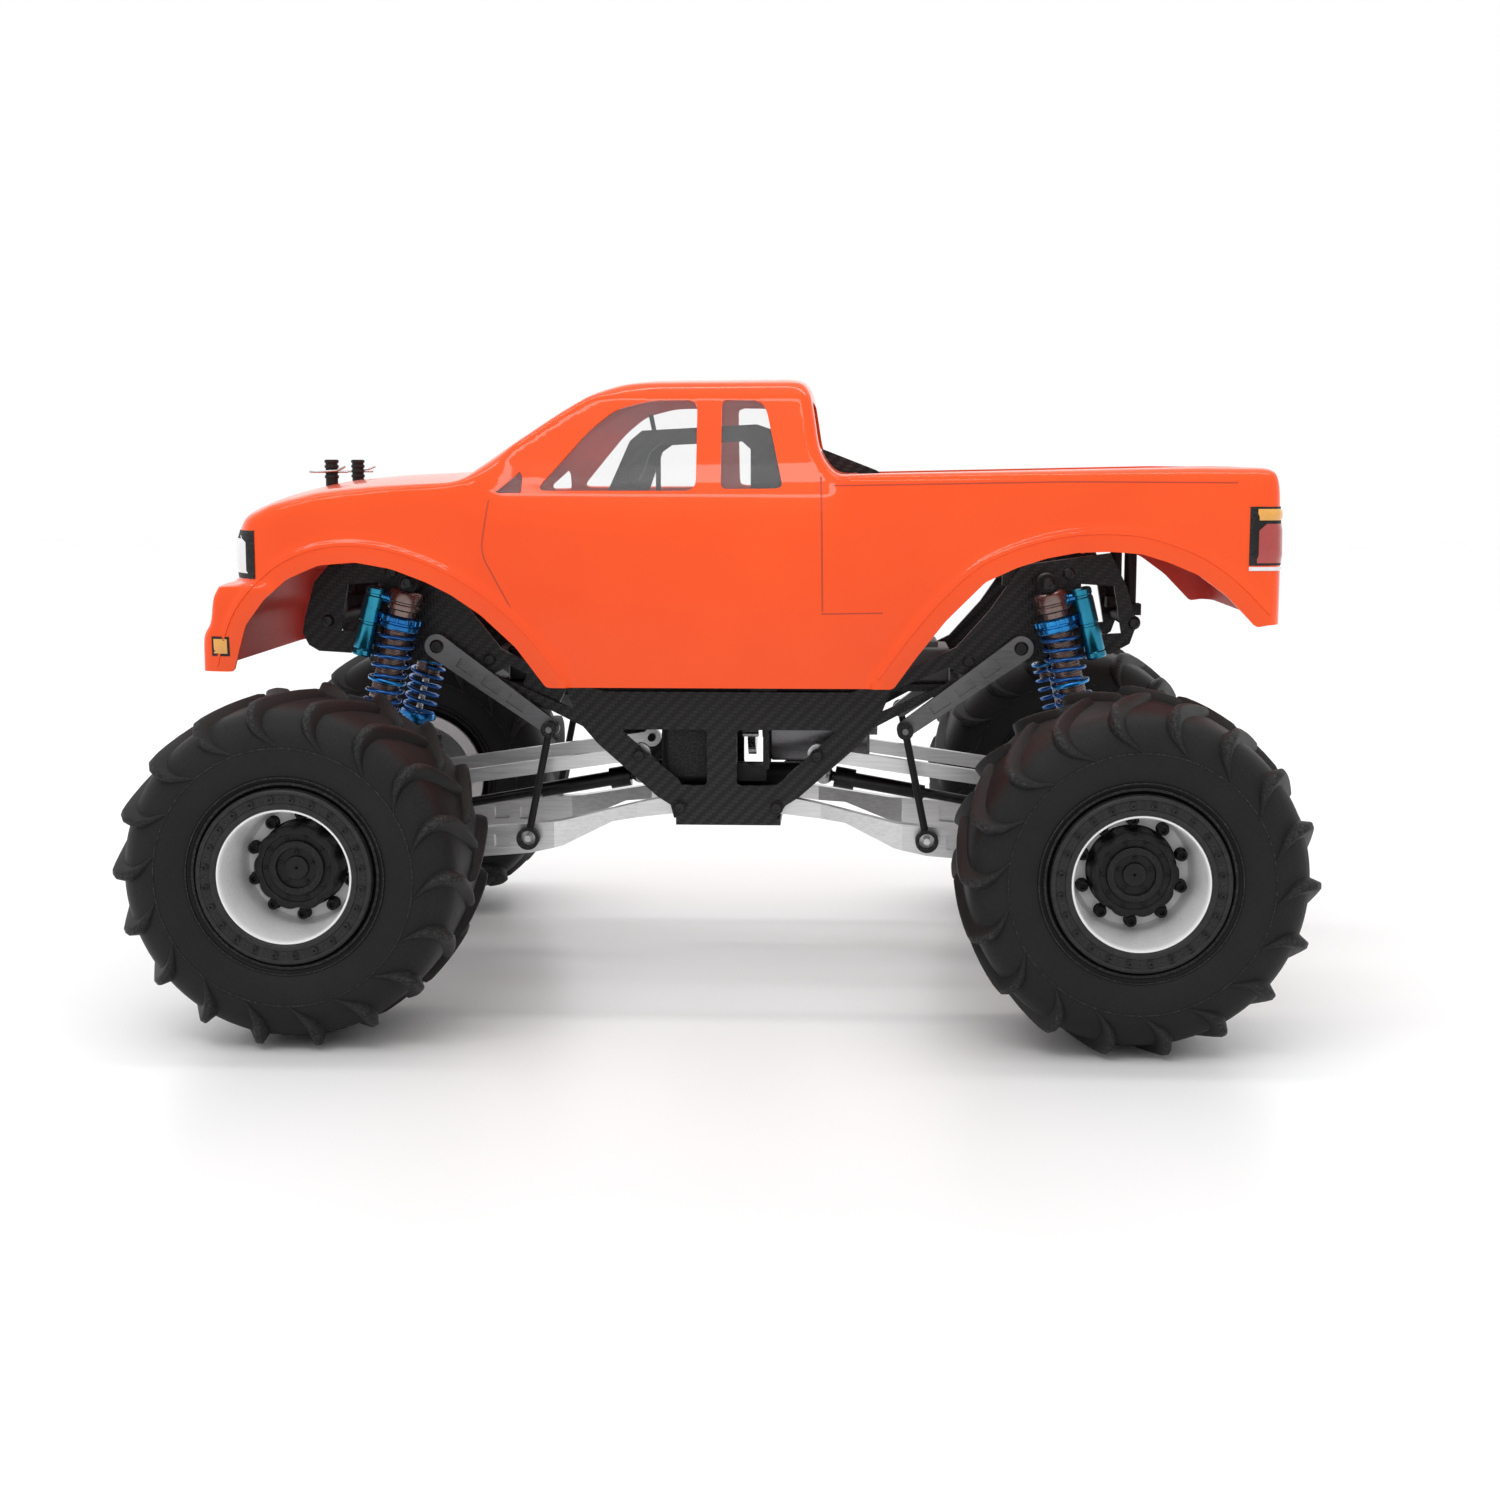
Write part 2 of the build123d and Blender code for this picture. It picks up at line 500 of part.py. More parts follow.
SHAFT_DIR = Vector(PINION_JOINT[0] - SHAFT_JOINT[0], 0, PINION_JOINT[1] - SHAFT_JOINT[1]).normalized()
SHAFT_START = Vector(SHAFT_JOINT[0], 0, SHAFT_JOINT[1])


def pinion_cup():
    """Drive cup on the axle's input shaft, open towards the gearbox."""
    x, z = PINION_JOINT
    cup = rod((x - 5, 0, z), (AXLE_X - 34.4, 0, z), 8) + rod((x + 5, 0, z), (AXLE_X - 21, 0, z), 3)
    cup -= rod((x - 6, 0, z), (x + 5.4, 0, z), 5.5)
    return cup - Pos(x - 3.5, 0, z) * Rot(0, 90, 0) * Cone(7.6, 5.4, 4)


def drive_ball():
    """Yoke at the gearbox end, which tilts with the shaft."""
    ball = Pos(SHAFT_JOINT[0], 0, SHAFT_JOINT[1]) * Sphere(5)
    return ball - rod(SHAFT_START + SHAFT_DIR * 1.5, SHAFT_START + SHAFT_DIR * 12, 2.55)


def driveshaft():
    far = SHAFT_START + SHAFT_DIR * (Vector(*PINION_JOINT) - Vector(*SHAFT_JOINT)).length
    shaft = rod(SHAFT_START + SHAFT_DIR * 2, far, 2.5)
    shaft += rod(SHAFT_START + SHAFT_DIR * 5.6, SHAFT_START + SHAFT_DIR * 16, 5.4)
    shaft += rod(SHAFT_START + SHAFT_DIR * 16, SHAFT_START + SHAFT_DIR * 52, 3.8)
    return shaft + Pos(*far) * Sphere(4.8)


def save_axles():
    save("front_axle_housing", axle_housing(True))
    save("rear_axle_housing", rear_of(axle_housing(False)))
    save_ends("pinion_cup", [pinion_cup()])
    save_ends("driveshaft", [driveshaft()])
    save_ends("drive_ball", [drive_ball()])
    for name, shape in zip(("left", "right"), both_sides(knuckle())):
        save(f"steering_knuckle_{name}", shape)
    for name, shape in zip(("steering_servo", "servo_horn", "drag_link", "tie_rod"), steering_parts()):
        save(name, shape)


# ---------------------------------------------------------------- body shell
SIDE_LINE = [(-258.7, 180.5), (-258.8, 207), (-257, 246), (-253.5, 253.5), (-220, 254), (-73, 251),
             (-54.3, 250.5), (-49, 256), (-44.8, 264), (-42.6, 279), (-40.4, 292), (-35.3, 296),
             (34, 295.5), (48.3, 294), (62.8, 289.5), (77.4, 281), (106.8, 261.5), (122, 251.3),
             (163.7, 249.3), (189, 246.8), (208.4, 242.3), (223.5, 235.7), (232, 227), (235.5, 218),
             (237, 199), (241, 185), (245.6, 181), (245.6, 158), (229, 158), (229, 151), (-246, 151),
             (-246, 180.5)]
FRONT_LINE = [(BODY_HALF, 120), (BODY_HALF, 228), (95.5, 239), (91, 248), (88, 256), (77, 286),
              (71, 292.5), (60, 296.5)]
PLAN_LINE = [(-262, 0), (-262, 88), (-252, BODY_HALF), (236, BODY_HALF), (243, 94), (247, 86), (247, 0)]
BUMPER_TOP = 199.0
NOSE_CORNER = [(211, 98), (222, 94.5), (229, 84), (236.5, 60), (260, 60), (260, 120), (211, 120)]
CORNER_SHIFT = (0.6, 0.9)             # in X and Y, moves the nose corner's faces in by 1
FRONT_ARCH = [(82, 150), (112, 184), (138, 200.5), (171, 209.5), (203, 201.5), (223, 180), (229.5, 158)]
REAR_ARCH = [(-80, 151), (-104, 183), (-122, 201), (-150, 212), (-179, 215), (-206, 210),
             (-232, 195), (-246, 180.5)]


def body_solid(inset):
    """The solid block inside the body's skin, shrunk by inset on every side.

    Above the bumper the nose is rounded off at its corners.
    """
    def shrunk(points):
        face = outline(points)
        return offset(face, -inset, kind=Kind.INTERSECTION) if inset else face
    half_front = FRONT_LINE + [(-y, z) for y, z in reversed(FRONT_LINE)]
    half_plan = PLAN_LINE + [(x, -y) for x, y in reversed(PLAN_LINE[1:-1])]
    along = side_cut(shrunk(SIDE_LINE), -120, 120)
    ends = Pos(-300, 0, 0) * extrude(Plane.YZ * shrunk(half_front), amount=600)
    above = Pos(0, 0, 100) * extrude(shrunk(half_plan), amount=250)
    corner = Pos(-CORNER_SHIFT[0] * inset, -CORNER_SHIFT[1] * inset, BUMPER_TOP - inset)
    solid = along & ends & above
    for side in both_sides(corner * extrude(outline(NOSE_CORNER), amount=140)):
        solid -= side
    return solid


def window_openings():
    sides = [[(86.8, 242.6), (61.7, 271.2), (50, 280.4), (33.7, 284.5), (12, 284.7), (12, 242.6)],
             [(0.5, 284.8), (-15.9, 284.6), (-20.1, 281.5), (-28.5, 243.7), (0.5, 243.4)],
             [(106, 241.5), (93, 252.5), (93, 241.5)]]
    openings = []
    for points in sides:
        openings += both_sides(plate(points, 66, 110))
    screen = outline([(-80, 263.5), (80, 263.5), (69, 287), (-69, 287)])
    openings.append(Pos(55, 0, 0) * extrude(Plane.YZ * screen, amount=65))
    return openings


def arch_cutter(points, floor=130):
    curve = Spline(*points)
    closing = Polyline(points[-1], (points[-1][0], floor), (points[0][0], floor), points[0])
    return side_cut(make_face(curve + closing), -120, 120)


def save_body():
    """The painted shell, open underneath, at the bed and at the back of the cab, its panes and its lamps."""
    outer, inner = body_solid(0), body_solid(SKIN)
    skin = outer - inner
    shell = skin - Pos(0, 0, -6) * inner
    shell -= block(-240, -62, -84, 84, 240, 270)
    shelf = block(-257, -165, -96, 96, SHELF_Z, SHELF_Z + SKIN) & outer
    shell += shelf
    shell -= arch_cutter(FRONT_ARCH) + arch_cutter(REAR_ARCH)
    rear = outline([(-68, 260), (68, 260), (64, 284), (-64, 284)])
    shell -= Pos(-60, 0, 0) * extrude(Plane.YZ * rear, amount=25)
    for slot in both_sides(block(-66, -36, CAGE_Y[0] - 1, CAGE_Y[1] + 1, 236, 262)):
        shell -= slot
    panes = []
    for opening in window_openings():
        panes += (skin & opening).solids()
        shell -= opening
    for x in (POST_X, -POST_X):
        for side in (1, -1):
            shell -= rod((x, side * POST_Y, 210), (x, side * POST_Y, 260), 3.4)
    save("body_shell", shell)
    save("window_panes", *panes)
    raised = body_solid(-1.0) - outer
    head = [block(200, 250, 58, 120, 201, 224), block(225, 260, 80, 120, 166.5, 173.5)]
    tail = [block(-270, -238, 88, 120, 208.5, 235.5)]
    for name, cutters in (("front_lamps", head), ("rear_lamps", tail)):
        save(name, *[raised & side for cutter in cutters for side in both_sides(cutter)])


def save_posts():
    """Posts that stand on the chassis and carry the body, and the clips that hold it down."""
    posts, clips = [], []
    for x, toe, top, seat in ((POST_X, 7, 257, 247.5), (-POST_X, 5, 236, SHELF_Z + SKIN + 1)):
        for side in (1, -1):
            y = side * POST_Y
            foot = block(x - 5, x + toe, y - 5, y + 5, 181.5, 187)
            posts.append(foot + rod((x, y, 186), (x, y, top), 3))
            clip = rod((x, y, seat), (x, y, seat + 1.4), 6.5)
            clip += block(x, x + 18, y - 2.5, y + 2.5, seat, seat + 1.4)
            clips.append(clip - rod((x, y, 200), (x, y, 262), 3.02))
    save("body_posts", *posts)
    save("body_clips", *clips)


def save_chassis():
    left = side_plate()
    pins = chassis_pins()
    for pin in pins:
        left -= pin
    save("chassis_plate_left", left)
    save("chassis_plate_right", right_of(left))
    cage = cage_plate()
    for pin in pins:
        cage -= pin
    save("cage_plates", *both_sides(cage))
    save("skid_plate", block(-26, 26, -PLATE_Y[1], PLATE_Y[1], *SKID_Z))
    bolts = [solid for pin in pins for solid in both_sides(pin)]
    save("frame_spacers", Part() + bolts, *frame_spacers())
    spur, pinion = drivetrain_gears()
    save("gearbox_case", gearbox_case())
    save("motor", motor() - rod((-30, MOTOR_Y, SPUR_Z), (0, MOTOR_Y, SPUR_Z), 2.05))
    save("spur_gear", spur)
    save("motor_pinion", pinion)


if __name__ == "__main__":
    os.makedirs("parts", exist_ok=True)
    save_chassis()
    electronics()
    save_posts()
    save_axles()
    save_suspension()
    save_wheels()
    save_body()
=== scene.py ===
from math import cos, pi, radians, sin

import bmesh
import bpy
import numpy as np
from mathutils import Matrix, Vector


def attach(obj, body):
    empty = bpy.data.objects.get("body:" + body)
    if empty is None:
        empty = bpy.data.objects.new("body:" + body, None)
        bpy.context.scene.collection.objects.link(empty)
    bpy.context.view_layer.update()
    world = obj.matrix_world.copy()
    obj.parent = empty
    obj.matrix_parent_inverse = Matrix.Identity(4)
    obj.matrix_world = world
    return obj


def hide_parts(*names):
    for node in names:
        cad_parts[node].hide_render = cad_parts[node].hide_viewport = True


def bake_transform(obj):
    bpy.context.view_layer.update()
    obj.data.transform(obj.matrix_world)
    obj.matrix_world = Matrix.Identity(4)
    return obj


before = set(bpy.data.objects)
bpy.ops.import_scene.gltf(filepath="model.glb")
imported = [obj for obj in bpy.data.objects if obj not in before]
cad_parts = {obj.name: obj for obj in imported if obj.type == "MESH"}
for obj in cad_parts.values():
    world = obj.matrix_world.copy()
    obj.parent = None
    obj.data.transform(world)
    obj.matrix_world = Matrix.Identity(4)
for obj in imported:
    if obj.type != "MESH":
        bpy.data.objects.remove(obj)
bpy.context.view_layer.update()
MM = 0.001


# ---------------------------------------------------------------- meshes
def make(name, verts, faces, material, body, sharp=35.0, slots=None):
    """A smooth-shaded piece from points in millimetres, riding on a body."""
    mesh = bpy.data.meshes.new(name)
    mesh.from_pydata([tuple(float(c) * MM for c in v) for v in verts], [], [tuple(f) for f in faces])
    mesh.polygons.foreach_set("use_smooth", [True] * len(mesh.polygons))
    for one in (material if isinstance(material, (list, tuple)) else [material]):
        mesh.materials.append(one)
    if slots is not None:
        mesh.polygons.foreach_set("material_index", slots)
    mesh.validate()
    mesh.set_sharp_from_angle(angle=radians(sharp))
    obj = bpy.data.objects.new(name, mesh)
    bpy.context.scene.collection.objects.link(obj)
    if body:
        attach(obj, body)
    return obj


class Shape:
    """Collects vertices and faces of one piece."""

    def __init__(self):
        self.verts, self.faces, self.slots = [], [], []

    def add(self, verts, faces, slot=0):
        start = len(self.verts)
        self.verts += [tuple(v) for v in verts]
        self.faces += [tuple(i + start for i in f) for f in faces]
        self.slots += [slot] * len(faces)
        return self

    def grid(self, rows, slot=0, wrap_rows=False, wrap_cols=False):
        """Quads over rows of points."""
        rows = [list(r) for r in rows]
        n, m = len(rows), len(rows[0])
        faces = []
        for i in range(n if wrap_rows else n - 1):
            for j in range(m if wrap_cols else m - 1):
                a, b = i * m + j, i * m + (j + 1) % m
                c, d = ((i + 1) % n) * m + (j + 1) % m, ((i + 1) % n) * m + j
                faces.append((a, b, c, d))
        return self.add([p for r in rows for p in r], faces, slot)

    def frame_of(self, axis):
        axis = Vector(axis).normalized()
        side = axis.cross(Vector((0, 0, 1)) if abs(axis.z) < 0.9 else Vector((1, 0, 0))).normalized()
        return axis, side, axis.cross(side)

    def capped(self, rows, slot):
        """Rings of points joined into a bar with flat ends."""
        count, first = len(rows[0]), len(self.verts)
        self.grid(rows, slot, wrap_cols=True)
        last = len(self.verts) - count
        self.faces += [tuple(range(first, first + count))[::-1], tuple(range(last, last + count))]
        self.slots += [slot, slot]
        return self

    def turned(self, start, axis, profile, count=32, slot=0, spin=0.0, hollow=False):
        """A profile of (distance along the axis, radius) turned about the axis.

        It is capped at both ends, or hollow, where the profile closes on itself.
        """
        axis, side, up = self.frame_of(axis)
        start = Vector(start)
        turns = [2 * pi * k / count + spin for k in range(count)]
        rows = [[tuple(start + axis * along + (side * cos(a) + up * sin(a)) * radius) for a in turns]
                for along, radius in profile]
        if hollow:
            return self.grid(rows, slot, wrap_rows=True, wrap_cols=True)
        return self.capped(rows, slot)

    def tube(self, path, radius, count=12, slot=0):
        """A round bar along a path of points."""
        points = [Vector(p) for p in path]
        turns = [2 * pi * k / count for k in range(count)]
        rows, side = [], None
        for i, p in enumerate(points):
            axis = (points[min(i + 1, len(points) - 1)] - points[max(i - 1, 0)]).normalized()
            if side is None:
                side = axis.orthogonal().normalized()
            side = (side - axis * side.dot(axis)).normalized()
            up = axis.cross(side)
            rows.append([tuple(p + (side * cos(a) + up * sin(a)) * radius) for a in turns])
        return self.capped(rows, slot)

    def lathe(self, profile, slot=0, closed=True, count=96):
        """A profile of (radius, Y) turned about the Y axis."""
        turns = [2 * pi * k / count for k in range(count)]
        rows = [[(r * sin(a), y, r * cos(a)) for r, y in profile] for a in turns]
        return self.grid(rows, slot, wrap_rows=True, wrap_cols=closed)

    def prism(self, outline, axis, start, end):
        """An outline of points in the two other axes, pushed along X, Y or Z."""
        def place(a, b, t):
            return {"x": (t, a, b), "y": (a, t, b), "z": (a, b, t)}[axis]
        n = len(outline)
        verts = [place(a, b, start) for a, b in outline] + [place(a, b, end) for a, b in outline]
        faces = [tuple(range(n)), tuple(range(n, 2 * n))[::-1]]
        faces += [(i, n + i, n + (i + 1) % n, (i + 1) % n) for i in range(n)]
        return self.add(verts, faces)

    def mirrored(self):
        """The same piece and its mirror image in Y."""
        verts, faces, slots = list(self.verts), list(self.faces), list(self.slots)
        self.add([(x, -y, z) for x, y, z in verts], [f[::-1] for f in faces])
        self.slots = slots + slots
        return self

    def build(self, name, material, body, sharp=35.0, bevel=0.0, segments=2):
        obj = make(name, self.verts, self.faces, material, body, sharp, self.slots)
        tidy_normals(obj)
        if bevel:
            add_bevel(obj, bevel, segments)
        return obj


def tidy_normals(obj):
    bm = bmesh.new()
    bm.from_mesh(obj.data)
    bmesh.ops.remove_doubles(bm, verts=bm.verts, dist=1e-7)
    bmesh.ops.recalc_face_normals(bm, faces=bm.faces)
    bm.to_mesh(obj.data)
    bm.free()


def add_bevel(obj, width, segments=2, angle=40):
    """Rounds sharp edges by a width in millimetres."""
    mod = obj.modifiers.new("edges", "BEVEL")
    mod.width = width * MM
    mod.segments = segments
    mod.limit_method = "ANGLE"
    mod.angle_limit = radians(angle)
    mod.use_clamp_overlap = True
    mod.harden_normals = False
    return mod


# ---------------------------------------------------------------- materials
class Nodes:
    """A short way to wire one procedural material."""

    def __init__(self, name):
        self.material = bpy.data.materials.new(name)
        self.material.use_nodes = True
        self.tree = self.material.node_tree
        self.shader = self.tree.nodes["Principled BSDF"]
        self.coords = self.tree.nodes.new("ShaderNodeTexCoord").outputs["Object"]

    def node(self, kind):
        return self.tree.nodes.new("ShaderNode" + kind)

    def link(self, a, b):
        self.tree.links.new(a, b)

    def noise(self, scale, detail=4.0, roughness=0.55, stretch=(1, 1, 1)):
        """Noise at a number of features a metre, stretched along an axis where asked."""
        place = self.node("Mapping")
        place.inputs["Scale"].default_value = stretch
        self.link(self.coords, place.inputs["Vector"])
        made = self.node("TexNoise")
        made.inputs["Scale"].default_value = scale
        made.inputs["Detail"].default_value = detail
        made.inputs["Roughness"].default_value = roughness
        self.link(place.outputs["Vector"], made.inputs["Vector"])
        return made.outputs["Fac"]

    def ramp(self, value, stops):
        made = self.node("ValToRGB")
        ramp = made.color_ramp
        while len(ramp.elements) < len(stops):
            ramp.elements.new(0.5)
        for element, (place, color) in zip(ramp.elements, stops):
            element.position = place
            element.color = (*color, 1)
        self.link(value, made.inputs["Fac"])
        return made.outputs["Color"]

    def range(self, value, low, high, a=0.0, b=1.0):
        made = self.node("MapRange")
        for key, number in (("From Min", a), ("From Max", b), ("To Min", low), ("To Max", high)):
            made.inputs[key].default_value = number
        self.link(value, made.inputs["Value"])
        return made.outputs["Result"]

    def math(self, kind, a, b=None):
        made = self.node("Math")
        made.operation = kind
        for socket, value in zip(made.inputs, (a, b)):
            if value is None:
                continue
            if isinstance(value, (int, float)):
                socket.default_value = value
            else:
                self.link(value, socket)
        return made.outputs["Value"]

    def mix(self, factor, a, b):
        made = self.node("Mix")
        made.data_type = "RGBA"
        for socket, value in ((made.inputs[0], factor), (made.inputs[6], a), (made.inputs[7], b)):
            if isinstance(value, (int, float)):
                socket.default_value = value
            elif isinstance(value, tuple):
                socket.default_value = (*value, 1)
            else:
                self.link(value, socket)
        return made.outputs[2]

    def bump(self, height, depth):
        """Relief from a height of 0 to 1, with a depth in millimetres."""
        made = self.node("Bump")
        made.inputs["Strength"].default_value = 1.0
        made.inputs["Distance"].default_value = depth * MM
        self.link(height, made.inputs["Height"])
        self.link(made.outputs["Normal"], self.shader.inputs["Normal"])

    def worn_and_lit_edges(self, base, edge_wear_and_light):
        """Mixes in a lighter colour where the surface turns outwards, broken up by noise: partly wear, partly
        a painted highlight on the edges.
        """
        point = self.node("NewGeometry").outputs["Pointiness"]
        edge = self.range(point, 0.0, 1.0, 0.52, 0.62)
        scuff = self.range(self.noise(900, 6, 0.7), 0.0, 1.0, 0.45, 0.7)
        return self.mix(self.math("MULTIPLY", edge, scuff), base, edge_wear_and_light)

    def set(self, **values):
        names = {"color": "Base Color", "rough": "Roughness", "metal": "Metallic", "coat": "Coat Weight",
                 "coat_rough": "Coat Roughness", "alpha": "Alpha", "spec": "Specular IOR Level",
                 "aniso": "Anisotropic"}
        for key, value in values.items():
            socket = self.shader.inputs[names[key]]
            if isinstance(value, (int, float)):
                socket.default_value = value
            elif isinstance(value, tuple):
                socket.default_value = (*value, 1)
            else:
                self.link(value, socket)
        return self


def grained(name, dark, light, rough, scale=700, depth=0.05, metal=0.0, stretch=(1, 1, 1), edge_wear_and_light=None, **more):
    """Two close tones in a grain, with roughness and relief from the same grain."""
    n = Nodes(name)
    grain = n.noise(scale, 5, 0.6, stretch)
    broad = n.noise(scale / 12, 3, 0.5)
    color = n.mix(n.range(broad, 0.0, 1.0, 0.3, 0.7), n.ramp(grain, [(0.3, dark), (0.7, light)]), light)
    # lighter outward edges where asked: partly wear, partly a painted highlight
    if edge_wear_and_light:
        color = n.worn_and_lit_edges(color, edge_wear_and_light)
    polish = n.range(grain, rough * 0.85, min(1.0, rough * 1.2), 0.3, 0.7)
    n.set(color=color, rough=polish, metal=metal, **more)
    n.bump(grain, depth)
    return n.material


def carbon_fibre():
    """Two by two twill in the plane of the side plates, under a satin resin."""
    n = Nodes("carbon_twill")
    tow = 0.0016
    split = n.node("SeparateXYZ")
    n.link(n.coords, split.inputs[0])
    across = n.math("DIVIDE", split.outputs["X"], tow)
    up = n.math("DIVIDE", split.outputs["Z"], tow)
    column, row = n.math("FLOOR", across), n.math("FLOOR", up)
    phase = n.math("FLOORED_MODULO", n.math("ADD", column, row), 4.0)
    warp = n.math("LESS_THAN", phase, 2.0)
    fx, fz = n.math("FRACT", across), n.math("FRACT", up)
    round_x = n.math("SINE", n.math("MULTIPLY", fx, pi))
    round_z = n.math("SINE", n.math("MULTIPLY", fz, pi))
    height = n.mix(warp, round_x, round_z)
    strands = n.noise(9000, 2, 0.5)
    # painted light in the weave: the weft tows are painted lighter than the warp as a painted sheen on one
    # tow direction, and the dips between the tows are darkened towards black as painted shade
    tow_sheen = n.mix(warp, (0.006, 0.006, 0.0065), (0.026, 0.026, 0.028))
    painted_groove_shade = n.mix(n.range(height, 0.55, 0.0), tow_sheen, (0.003, 0.003, 0.003))
    color = n.mix(n.range(strands, 0.0, 0.3, 0.35, 0.7), painted_groove_shade, (0.045, 0.045, 0.048))
    n.set(color=color, rough=n.range(strands, 0.30, 0.46), coat=0.10, coat_rough=0.2, spec=0.18)
    n.bump(height, 0.1)
    return n.material


def painted_body():
    """Bright orange behind clear polycarbonate: deep gloss with a little orange peel."""
    n = Nodes("body_orange")
    broad = n.noise(14, 3, 0.5)
    fleck = n.noise(2600, 2, 0.5)
    color = n.ramp(broad, [(0.35, (0.90, 0.070, 0.001)), (0.65, (0.95, 0.081, 0.002))])
    color = n.mix(n.range(fleck, 0.0, 0.08, 0.5, 0.75), color, (0.98, 0.11, 0.01))
    n.set(color=color, rough=n.range(broad, 0.26, 0.32), coat=0.6, coat_rough=0.04, spec=0.10)
    n.bump(n.noise(260, 2, 0.4), 0.012)
    return n.material


def clear_window():
    n = Nodes("clear_window")
    haze = n.noise(40, 4, 0.6)
    scratch = n.noise(500, 3, 0.6, (1, 1, 9))
    n.set(color=n.ramp(haze, [(0.3, (0.80, 0.83, 0.84)), (0.7, (0.88, 0.90, 0.91))]),
          rough=n.range(scratch, 0.02, 0.07), alpha=n.range(haze, 0.045, 0.075), spec=0.5)
    n.bump(haze, 0.02)
    return n.material


def tyre_rubber():
    n = Nodes("tyre_rubber")
    fine = n.noise(1500, 6, 0.65)
    broad = n.noise(45, 4, 0.6)
    color = n.ramp(fine, [(0.3, (0.006, 0.006, 0.006)), (0.7, (0.012, 0.012, 0.012))])
    color = n.mix(n.range(broad, 0.0, 0.5, 0.45, 0.75), color, (0.016, 0.0155, 0.0155))
    # lighter lug ridges and edges: a painted highlight, broken up by noise like wear
    color = n.worn_and_lit_edges(color, (0.09, 0.087, 0.085))
    n.set(color=color, rough=n.range(broad, 0.46, 0.62), spec=0.18)
    n.bump(fine, 0.05)
    return n.material


def brushed_billet():
    n = Nodes("billet_silver")
    streak = n.noise(900, 5, 0.6, (0.05, 1, 1))
    broad = n.noise(60, 3, 0.5)
    color = n.ramp(streak, [(0.25, (0.56, 0.56, 0.57)), (0.75, (0.78, 0.78, 0.79))])
    color = n.mix(n.range(broad, 0.0, 0.2, 0.4, 0.7), color, (0.62, 0.62, 0.63))
    n.set(color=color, rough=n.range(streak, 0.26, 0.42), metal=0.85, aniso=0.3)
    n.bump(streak, 0.015)
    return n.material


def anodised(name, dark, light, rough=0.24):
    n = Nodes(name)
    turn = n.noise(1400, 4, 0.6)
    broad = n.noise(80, 3, 0.5)
    color = n.mix(n.range(broad, 0.0, 1.0, 0.35, 0.65), dark, light)
    n.set(color=color, rough=n.range(turn, rough * 0.8, rough * 1.3), metal=0.9, coat=0.2, coat_rough=0.1)
    n.bump(turn, 0.01)
    return n.material


MATERIALS = {
    "carbon": carbon_fibre(),
    "paint": painted_body(),
    "window": clear_window(),
    "rubber": tyre_rubber(),
    "billet": brushed_billet(),
    "blue": anodised("anodised_blue", (0.010, 0.14, 0.40), (0.018, 0.24, 0.58)),
    "teal": anodised("anodised_teal", (0.010, 0.16, 0.27), (0.020, 0.27, 0.40)),
    "black_alloy": anodised("anodised_black", (0.010, 0.010, 0.011), (0.022, 0.022, 0.024), 0.35),
    "steel": grained("turned_steel", (0.34, 0.34, 0.35), (0.52, 0.52, 0.53), 0.28, 1200, 0.01, 1.0),
    "black": grained("black_nylon", (0.006, 0.006, 0.006), (0.013, 0.013, 0.0135), 0.5, 1100, 0.03,
                     edge_wear_and_light=(0.06, 0.06, 0.06), spec=0.2),
    "inside": grained("paint_backing", (0.60, 0.050, 0.034), (0.74, 0.066, 0.045), 0.5, 500, 0.02),
    "white": grained("white_nylon", (0.74, 0.74, 0.74), (0.83, 0.83, 0.83), 0.30, 900, 0.015, coat=0.3,
                     coat_rough=0.15),
    "ring": grained("beadlock_black", (0.008, 0.008, 0.0085), (0.017, 0.017, 0.0175), 0.42, 1200, 0.03,
                    edge_wear_and_light=(0.08, 0.08, 0.08), spec=0.25),
    "battery": grained("battery_case", (0.018, 0.020, 0.026), (0.032, 0.036, 0.044), 0.35, 600, 0.02),
    "spring": grained("spring_coat", (0.012, 0.07, 0.27), (0.022, 0.13, 0.40), 0.22, 900, 0.01, 0.7),
    "arm": grained("brushed_grey", (0.085, 0.085, 0.088), (0.16, 0.16, 0.165), 0.34, 900, 0.015, 0.85,
                   (0.06, 1, 1)),
    "bolt": grained("black_bolt", (0.010, 0.010, 0.010), (0.022, 0.022, 0.022), 0.32, 1500, 0.01, 0.6),
    "amber": grained("amber_lens", (0.62, 0.25, 0.03), (0.80, 0.38, 0.05), 0.12, 400, 0.05, coat=0.8),
    "red_lens": grained("red_lens", (0.26, 0.016, 0.014), (0.40, 0.024, 0.020), 0.12, 400, 0.05, coat=0.8),
    "clear_lens": grained("clear_lens", (0.62, 0.63, 0.65), (0.82, 0.83, 0.85), 0.10, 300, 0.05, 0.3,
                          coat=0.8),
    "seam": grained("seam_shadow", (0.36, 0.030, 0.008), (0.50, 0.045, 0.012), 0.5, 900, 0.01),
    "satin": grained("satin_bars", (0.20, 0.20, 0.21), (0.34, 0.34, 0.35), 0.3, 900, 0.01, 0.8),
    "tube": grained("shock_tube", (0.12, 0.085, 0.078), (0.23, 0.165, 0.15), 0.28, 900, 0.01, 0.85),
    "motor_can": grained("motor_can", (0.09, 0.09, 0.095), (0.17, 0.17, 0.18), 0.35, 900, 0.02, 0.8),
    "receiver": grained("receiver_case", (0.05, 0.055, 0.06), (0.10, 0.105, 0.11), 0.4, 900, 0.02),
}


